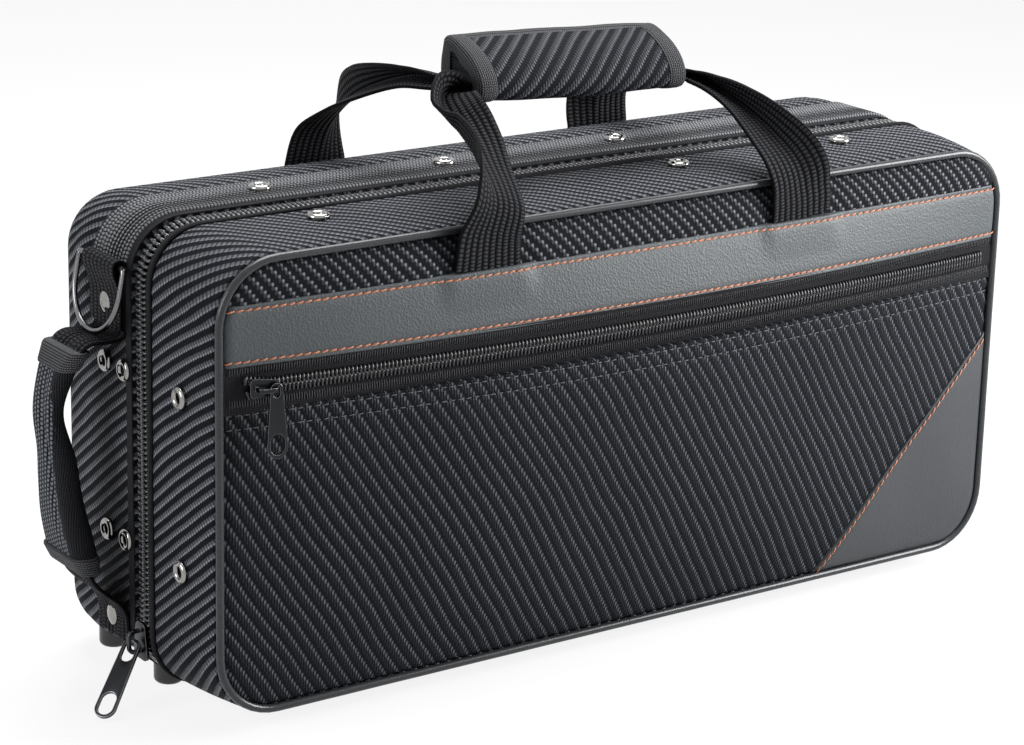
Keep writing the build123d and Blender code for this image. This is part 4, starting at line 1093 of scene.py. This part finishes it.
# The wrap: a padded flap of the same twill, laid over both straps from the back and closed under them.
# Its slanting top is soft and full, and its ends and its back edge are bound in webbing.
# The floats' light colour is painted glint over the cloth's near-black ground.
wrap_cloth = twill("wrap_twill", (0.004, 0.0045, 0.006), (0.12, 0.127, 0.144), 1.5, 8.4, 0.17, 0.6, 0.2)
wrap_corners = [(15.5, 12.5), (10, 14.3), (1, 11.6), (-8, 7.2), (-15, 0.8), (-18.4, -6.3), (-16.8, -12.6), (-9, -15.4),
                (3, -15.6), (13, -14.2), (17.6, -8), (17.8, 3)]
slot_wide, slot_tall, slot_drop, wrap_points, cloth_frames = 31, 6.4, -9, 84, 20


def even_loop(points, count):
    """Evenly spaced points round a closed line, and its length in metres."""
    run = lengths_along(points, closed=True)
    even = np.linspace(0, run[-1], count, endpoint=False)
    ring = np.vstack([points, points[:1]])
    return np.column_stack([np.interp(even, run, ring[:, k]) for k in (0, 1)]), run[-1]


def rounded_section(wide, tall, radius, count):
    """Rounded rectangle about its middle."""
    a, b = wide / 2 - radius, tall / 2 - radius
    dense = []
    for y, z, first in ((a, b, 0), (-a, b, 90), (-a, -b, 180), (a, -b, 270)):
        turns = np.radians(np.linspace(first, first + 90, 24))
        dense += [(y + radius * cos(turn), z + radius * sin(turn)) for turn in turns]
    return even_loop(np.array(dense), count)


def wrap_section(grow):
    """The wrap end-on: highest along its back edge, slanting down to its front, grown evenly."""
    closed, steps = wrap_corners[-2:] + wrap_corners + wrap_corners[:3], 12
    line = smooth_line(closed, steps * (len(closed) - 1) + 1)[2 * steps:-3 * steps]
    section, girth = even_loop(line, wrap_points)
    middle = section.mean(axis=0)
    away = section - middle
    return middle + away * (1 + grow / np.linalg.norm(away, axis=1))[:, None], girth


def wrap_height(x):
    """Height of the wrap's middle: it hangs lower at its right end and sags between its ends."""
    return grip_height + bar_tilt * x / wrap_half_length - 0.8 * cos(pi * x / (2 * wrap_half_length))


def places_of(mesh):
    """A mesh's points in metres, a row each."""
    flat = np.zeros(len(mesh.vertices) * 3)
    mesh.vertices.foreach_get("co", flat)
    return flat.reshape(-1, 3)


def blow_up(piece, held, pressure, cap):
    """Swells a padded piece by cloth pressure from within. It stays where held is one, and no point goes past the
    cap, in millimetres."""
    mesh = piece.data
    rest = places_of(mesh)
    group = piece.vertex_groups.new(name="sewn")
    for k, place in enumerate((rest - case_origin) * 1000):
        group.add([k], clamped(held(*place)), "REPLACE")
    cloth = piece.modifiers.new("cloth", "CLOTH")
    settings = cloth.settings
    settings.quality, settings.mass, settings.time_scale = 4, 0.3, 1.0
    settings.tension_stiffness = settings.compression_stiffness = settings.shear_stiffness = 12
    settings.bending_stiffness = 0.8
    settings.vertex_group_mass = "sewn"
    settings.use_pressure, settings.uniform_pressure_force = True, pressure
    settings.effector_weights.gravity = 0
    cloth.collision_settings.use_collision = False
    for step in range(cloth_frames):
        bpy.context.scene.frame_set(step + 1)
    graph = bpy.context.evaluated_depsgraph_get()
    move = places_of(piece.evaluated_get(graph).data) - rest
    share = np.maximum(np.linalg.norm(move, axis=1), 1e-9)[:, None] / (cap / 1000)
    piece.modifiers.remove(cloth)
    piece.vertex_groups.clear()
    mesh.vertices.foreach_set("co", (rest + move * np.tanh(share) / share).ravel())
    mesh.update()
    bpy.context.scene.frame_set(1)


def girth_row(along, girth, count, start=0.0):
    """Cloth coordinates for one hoop: how far along it stands, in millimetres, and the way round it, in metres."""
    return [(along / 1000, start + girth * k / count) for k in range(count + 1)]


wrap_hoops, wrap_uvs = [], []
right_end = np.linspace(wrap_half_length - 2, wrap_half_length, 3)
between_ends = np.linspace(4 - wrap_half_length, wrap_half_length - 4, 50)
stations = np.concatenate([-right_end[::-1], between_ends, right_end])
for x in stations:
    fullness = max(cos(pi * x / (2 * wrap_half_length)), 0) ** 0.5
    section, girth = wrap_section(-1.6 + 1.9 * fullness)
    creases = [1 + noise.noise(Vector((x * 0.04, y * 0.05, z * 0.05))) * 0.8 * fullness / 22 for y, z in section]
    wrap_hoops.append([(x, y * crease, wrap_height(x) + z * crease) for (y, z), crease in zip(section, creases)])
    wrap_uvs.append(girth_row(x, girth, wrap_points))
lining_section, lining_girth = rounded_section(slot_wide, slot_tall, 3.2, wrap_points)
first = int(np.argmin(np.linalg.norm(lining_section - (14, 3), axis=1)))
lining_section = np.roll(lining_section, -first, axis=0)
for x in stations[::-6]:
    wrap_hoops.append([(x, y, wrap_height(x) + slot_drop + z) for y, z in lining_section])
    wrap_uvs.append(girth_row(x, lining_girth, wrap_points, 0.2))
wrap = lofted("padded_wrap", wrap_hoops, [*wrap_uvs, wrap_uvs[0]], wrap_cloth, 60, ring=True)


def wrap_held(x, y, z):
    """The wrap is sewn at its ends and along its back edge, and its lining lies on the straps."""
    lining = abs(y) < slot_wide / 2 + 0.5 and abs(z - wrap_height(x) - slot_drop) < slot_tall / 2 + 0.5
    back_edge = max(1 - hypot(y - 13, z - wrap_height(x) - 13.5) / 7, 0)
    return 1.0 if lining or abs(x) > wrap_half_length - 7 else back_edge


blow_up(wrap, wrap_held, 3.0, 3.2)
stands_for(wrap, "panel_cloth", "handle_wrap")
binding_weave = ribbed_tape("binding_weave", 9, 11, (0.012, 0.012, 0.013), (0.095, 0.097, 0.102), 1.3, 0.7)
binding_profile = [(-0.5, -7.5), (-0.8, -5), (-0.9, -1.8), (-0.5, 0.2), (0.5, 1.0), (1.8, 1.3), (6, 1.35), (8.2, 1.2),
                   (9.5, 0.8), (9.7, -0.3), (9.5, -1.0), (0.6, -1.0), (0.3, -3), (0.2, -7.5)]
bindings = []
for side in (-1, 1):
    hoops, uvs = [], []
    for run, off in binding_profile:
        x = side * (wrap_half_length + 0.2 - run)
        section, girth = wrap_section(off - 1.0)
        hoops.append([(x, y, wrap_height(x) + z) for y, z in section])
        uvs.append(girth_row(run + max(-off, 0), girth, wrap_points))
    bindings.append(lofted("wrap_end_binding", hoops, [*uvs, uvs[0]], binding_weave, 60, ring=True))
# The back edge's binding lies on the skin itself, over its highest line and a little way down behind.
skin_places = (places_of(wrap.data) - case_origin) * 1000
skin_rows = skin_places[:len(stations) * wrap_points].reshape(-1, wrap_points, 3)
edge_band, edge_uvs = [], []
for row, x in zip(skin_rows[2:-2], stations[2:-2]):
    top = int(np.argmax(row[:, 2] + 0.35 * row[:, 1]))
    wave = 1.4 * noise.noise(Vector((x * 0.045, 2.0, 0)))
    keep = row[np.arange(top - 5, top + 5) % wrap_points]
    away = unit_rows(keep - row.mean(axis=0))
    heights = 1.5 - 0.9 * np.abs(np.arange(10) / 4.5 - 1) ** 4
    upper = keep + away * heights[:, None] + (0, wave * 0.4, wave * 0.25)
    edge_band.append([*upper, *(keep - away * 0.8)[::-1]])
    edge_uvs.append([(k * 1.15 / 1000, x / 1000) for k in [*range(10), *range(9, -1, -1), 0]])
bindings.append(lofted("wrap_back_binding", edge_band, edge_uvs, binding_weave, 60))
stands_for(joined("wrap_bindings", bindings), "black_webbing", "wrap_binding")

# The end handle: webbing sewn under the left ring's tab, standing off the end and riveted down below.
# A padded grip, bowed out and faced in a dashed weave, is closed round it and bound at both ends.
# The grip's rows are its heights, its middle's distance out, its width, its depth and its shift sideways.
end_course = [(244.2, 176), (244.3, 173.5), (247, 171), (254, 170.4), (262, 170.8), (267, 168), (269.5, 161),
              (273, 150), (274.2, 136), (273.6, 116), (271.2, 92), (268.2, 72), (266, 60), (262, 51), (256, 44.5),
              (249.5, 39), (245.6, 33), (244.2, 27), (244.2, 17)]
grip_low, grip_high, grip_inner, grip_points, strap_pinch = 57, 168, 262, 64, 12
grip_rows = smooth_line([(57, 266, 36, 8, 0), (68, 268.2, 38, 13, 0.4), (88, 271.4, 34, 13, 1.2),
                         (112, 273, 27, 11.5, 3.2), (134, 275.2, 21, 9.3, 7), (152, 272.8, 25, 10, 4.4),
                         (168, 268, 33, 8, 0.8)], 70)
grip_face = ribbed_tape("grip_face", 16, 39, (0.005, 0.0055, 0.007), (0.125, 0.133, 0.15), 2.3, 0.9, 0.0, 0.25)
grip_side = ribbed_tape("grip_side", 30, 39, (0.005, 0.005, 0.006), (0.024, 0.025, 0.029), 1.2, 0.7)


def grip_at(z):
    """The grip's middle, width, depth and shift at a height."""
    return [float(np.interp(z, grip_rows[:, 0], values)) for values in grip_rows[:, 1:].T]


end_line = smooth_line([(-x, z) for x, z in end_course], 110)
end_faces = [(dz, 0, -dx) for dx, dz in flow_along(end_line)]
end_strap = webbing_piece(
    "end_handle_webbing", with_y(end_line, band_middle), (0, 1, 0), end_faces, tab_width, both=True)
for vertex in end_strap.data.vertices:
    x, y, z = (vertex.co - Vector(case_origin)) * 1000
    ends = clamped((z - grip_low - 2) / strap_pinch), clamped((grip_high - 2 - z) / strap_pinch)
    inside = ends[0] * ends[1] * (x < -grip_inner)
    _, wide, _, shift = grip_at(z)
    moved = band_middle + shift + (y - band_middle) * min((wide - 6) / tab_width, 1)
    vertex.co.y = (y + (moved - y) * inside) / 1000 + case_origin[1]
stands_for(end_strap, "black_webbing", "end_handle_strap")


def grip_section(z, grow=0.0):
    """The grip end-on at a height: bowed out and drawn narrow above its middle, full and wide below."""
    middle, wide, depth, shift = grip_at(z)
    section, girth = rounded_section(wide + 2 * grow, depth + 2 * grow, depth / 2 + grow - 0.3, grip_points)
    return [(-middle - off, band_middle + shift + y) for y, off in section], girth


grip_hoops, grip_uvs = [], []
for z in [grip_low, *np.linspace(grip_low + 1, grip_high - 1, 60), grip_high]:
    section, girth = grip_section(z, -0.8 if z in (grip_low, grip_high) else 0)
    centre_x, centre_y = np.mean(section, axis=0)
    crease = 1.6 * sin(pi * clamped((z - grip_low) / (grip_high - grip_low)))
    hoop = []
    for x, y in section:
        lump = 1 + 0.05 * noise.noise(Vector((x * 0.05, y * 0.09, z * 0.05)))
        fold = crease * bulge(y - centre_y + 3 - (z - 110) * 0.07, 2.4) * (x < centre_x)
        hoop.append((centre_x + (x - centre_x) * lump + fold, centre_y + (y - centre_y) * lump, z))
    grip_hoops.append(hoop)
    grip_uvs.append([(girth * k / grip_points, z / 1000) for k in range(grip_points + 1)])
grip = lofted("end_handle_pad", grip_hoops, grip_uvs, grip_side, 60)
grip.data.materials.append(grip_face)
for face in grip.data.polygons:
    corners = [grip.data.vertices[k].co for k in face.vertices]
    centre = (sum(corners, Vector()) / len(corners) - Vector(case_origin)) * 1000
    outward = centre.x + grip_at(centre.z)[0] < -2.5 and face.normal.x < -0.25
    edge_y = float(np.interp(centre.z, (grip_low, 110, grip_high), (-13, -5, -2)))
    face.material_index = int(outward and centre.y - band_middle > edge_y)


def grip_held(x, y, z):
    """The grip is held where it is bound, near both of its ends."""
    return max(1 - min(z - grip_low, grip_high - z) / 14, 0)


blow_up(grip, grip_held, 2.5, 1.8)
stands_for(grip, "panel_cloth", "end_handle_grip")
grip_bindings = []
for low, high in ((grip_low - 0.4, grip_low + 9), (grip_high - 10, grip_high + 0.4)):
    hoops, uvs = [], []
    for z, off in ((low, -0.2), (low + 0.4, 0.9), (low + 1.5, 1.3), (high - 1.5, 1.5), (high - 0.4, 1.1), (high, -0.2)):
        section, girth = grip_section(min(max(z, grip_low), grip_high), off)
        hoops.append([(x, y, z) for x, y in section])
        uvs.append(girth_row(z - low, girth, grip_points))
    grip_bindings.append(lofted("end_handle_binding_ring", hoops, uvs, binding_weave, 60))
stands_for(joined("end_handle_bindings", grip_bindings), "black_webbing", "end_handle_binding")

# The fitted inside: a foam block in the base, cut out for the curved instrument, and a pad in the lid.
# Both are covered in short dark plush, drawn down into the cut-outs.
plush = Finish("dark_plush")
pile = plush.cloud(1400.0, 4.0)
nap = plush.blend(pile * 0.5 + plush.cloud(32.0) * 0.5, (0.012, 0.013, 0.016), (0.05, 0.053, 0.062))
plush.surface(nap, 0.9, pile, 0.7, 0.0008, Sheen_Weight=0.5, Sheen_Roughness=0.4)


def plush_over(name, node, voxel, smoothing):
    """Foam block's cover: its solid made again in even faces and rounded off."""
    rough = merged_copy(name, node, [plush.material], False)
    remesh = rough.modifiers.new("remesh", "REMESH")
    remesh.mode, remesh.voxel_size = "VOXEL", voxel / 1000
    smooth = rough.modifiers.new("smooth", "SMOOTH")
    smooth.factor, smooth.iterations = 0.5, smoothing
    return stands_for(shown(name, baked(rough, name)), "plush", node)


insert = plush_over("plush_insert", "instrument_insert", 2.6, 4)
pad = plush_over("plush_lid_pad", "lid_pad", 3.0, 6)

# The view: the photograph's camera, a pale floor, and a studio's soft lights.
# The floor and the surroundings show white to the camera and in reflections, and the floor keeps the shadow.
turn, dip, tilt = radians(35.37), radians(17.16), radians(1.37)
focal_pixels, picture_pixels, sensor = 3144, 1024, 36
camera_place = (-0.9109, -1.2610, 0.6080)
floor_white, soft_white = 0.86, 0.16
ahead = Vector((sin(turn) * cos(dip), cos(turn) * cos(dip), -sin(dip)))
level = ahead.cross(Vector((0, 0, 1))).normalized()
upward = level.cross(ahead)
right, up = level * cos(tilt) + upward * sin(tilt), upward * cos(tilt) - level * sin(tilt)
lens = bpy.data.cameras.new("camera")
lens.sensor_width, lens.lens = sensor, focal_pixels / picture_pixels * sensor
camera = shown("camera", lens)
placed = np.eye(4)
placed[:3] = np.column_stack([right, up, -ahead, camera_place])
camera.matrix_world = Matrix(placed.tolist())
bpy.context.scene.camera = camera
bpy.context.scene.view_settings.view_transform = "Standard"


def seen(add):
    """One for the rays that show a thing: to the camera, in reflections and through glass."""
    rays = add("ShaderNodeLightPath")
    return Amount(add, rays["Is Camera Ray"]).most(rays["Is Glossy Ray"]).most(rays["Is Transmission Ray"])


floor_mesh = bpy.data.meshes.new("floor")
floor_mesh.from_pydata([(-9, -9, 0), (9, -9, 0), (9, 9, 0), (-9, 9, 0)], [], [(0, 1, 2, 3)])
floor = shown("floor", floor_mesh)
pale = Finish("pale_floor")
matt = pale.add("ShaderNodeBsdfDiffuse", {"Color": pale.blend(pale.cloud(6.0), (0.84, 0.84, 0.84), (0.88, 0.88, 0.88))})
white = pale.add("ShaderNodeEmission", {"Color": (1, 1, 1, 1), "Strength": 1.0})
mixed = pale.add("ShaderNodeMixShader", {0: seen(pale.add) * floor_white, 1: matt[0], 2: white[0]})
pale.add("ShaderNodeOutputMaterial", {"Surface": mixed[0]})
floor_mesh.materials.append(pale.material)

world = bpy.data.worlds.new("studio")
bpy.context.scene.world = world
world.use_nodes = True
world.node_tree.nodes.clear()
add = node_maker(world.node_tree)
strength = add("ShaderNodeMapRange", {0: seen(add), "To Min": soft_white})
glow = add("ShaderNodeBackground", {"Color": (1, 1, 1, 1), "Strength": strength[0]})
add("ShaderNodeOutputWorld", {"Surface": glow[0]})

for name, place, size, power in (("overhead", (0.25, 0.3, 1.5), 1.1, 42), ("right_front", (0.76, -0.52, 0.46), 0.5, 19),
                                 ("left", (-1.6, 0.1, 0.75), 0.8, 16.5)):
    lamp = bpy.data.lights.new(name, "AREA")
    lamp.size, lamp.energy = size, power
    held = shown(name, lamp)
    held.location = place
    held.rotation_euler = (Vector((0, 0, 0.12)) - Vector(place)).to_track_quat("-Z", "Y").to_euler()
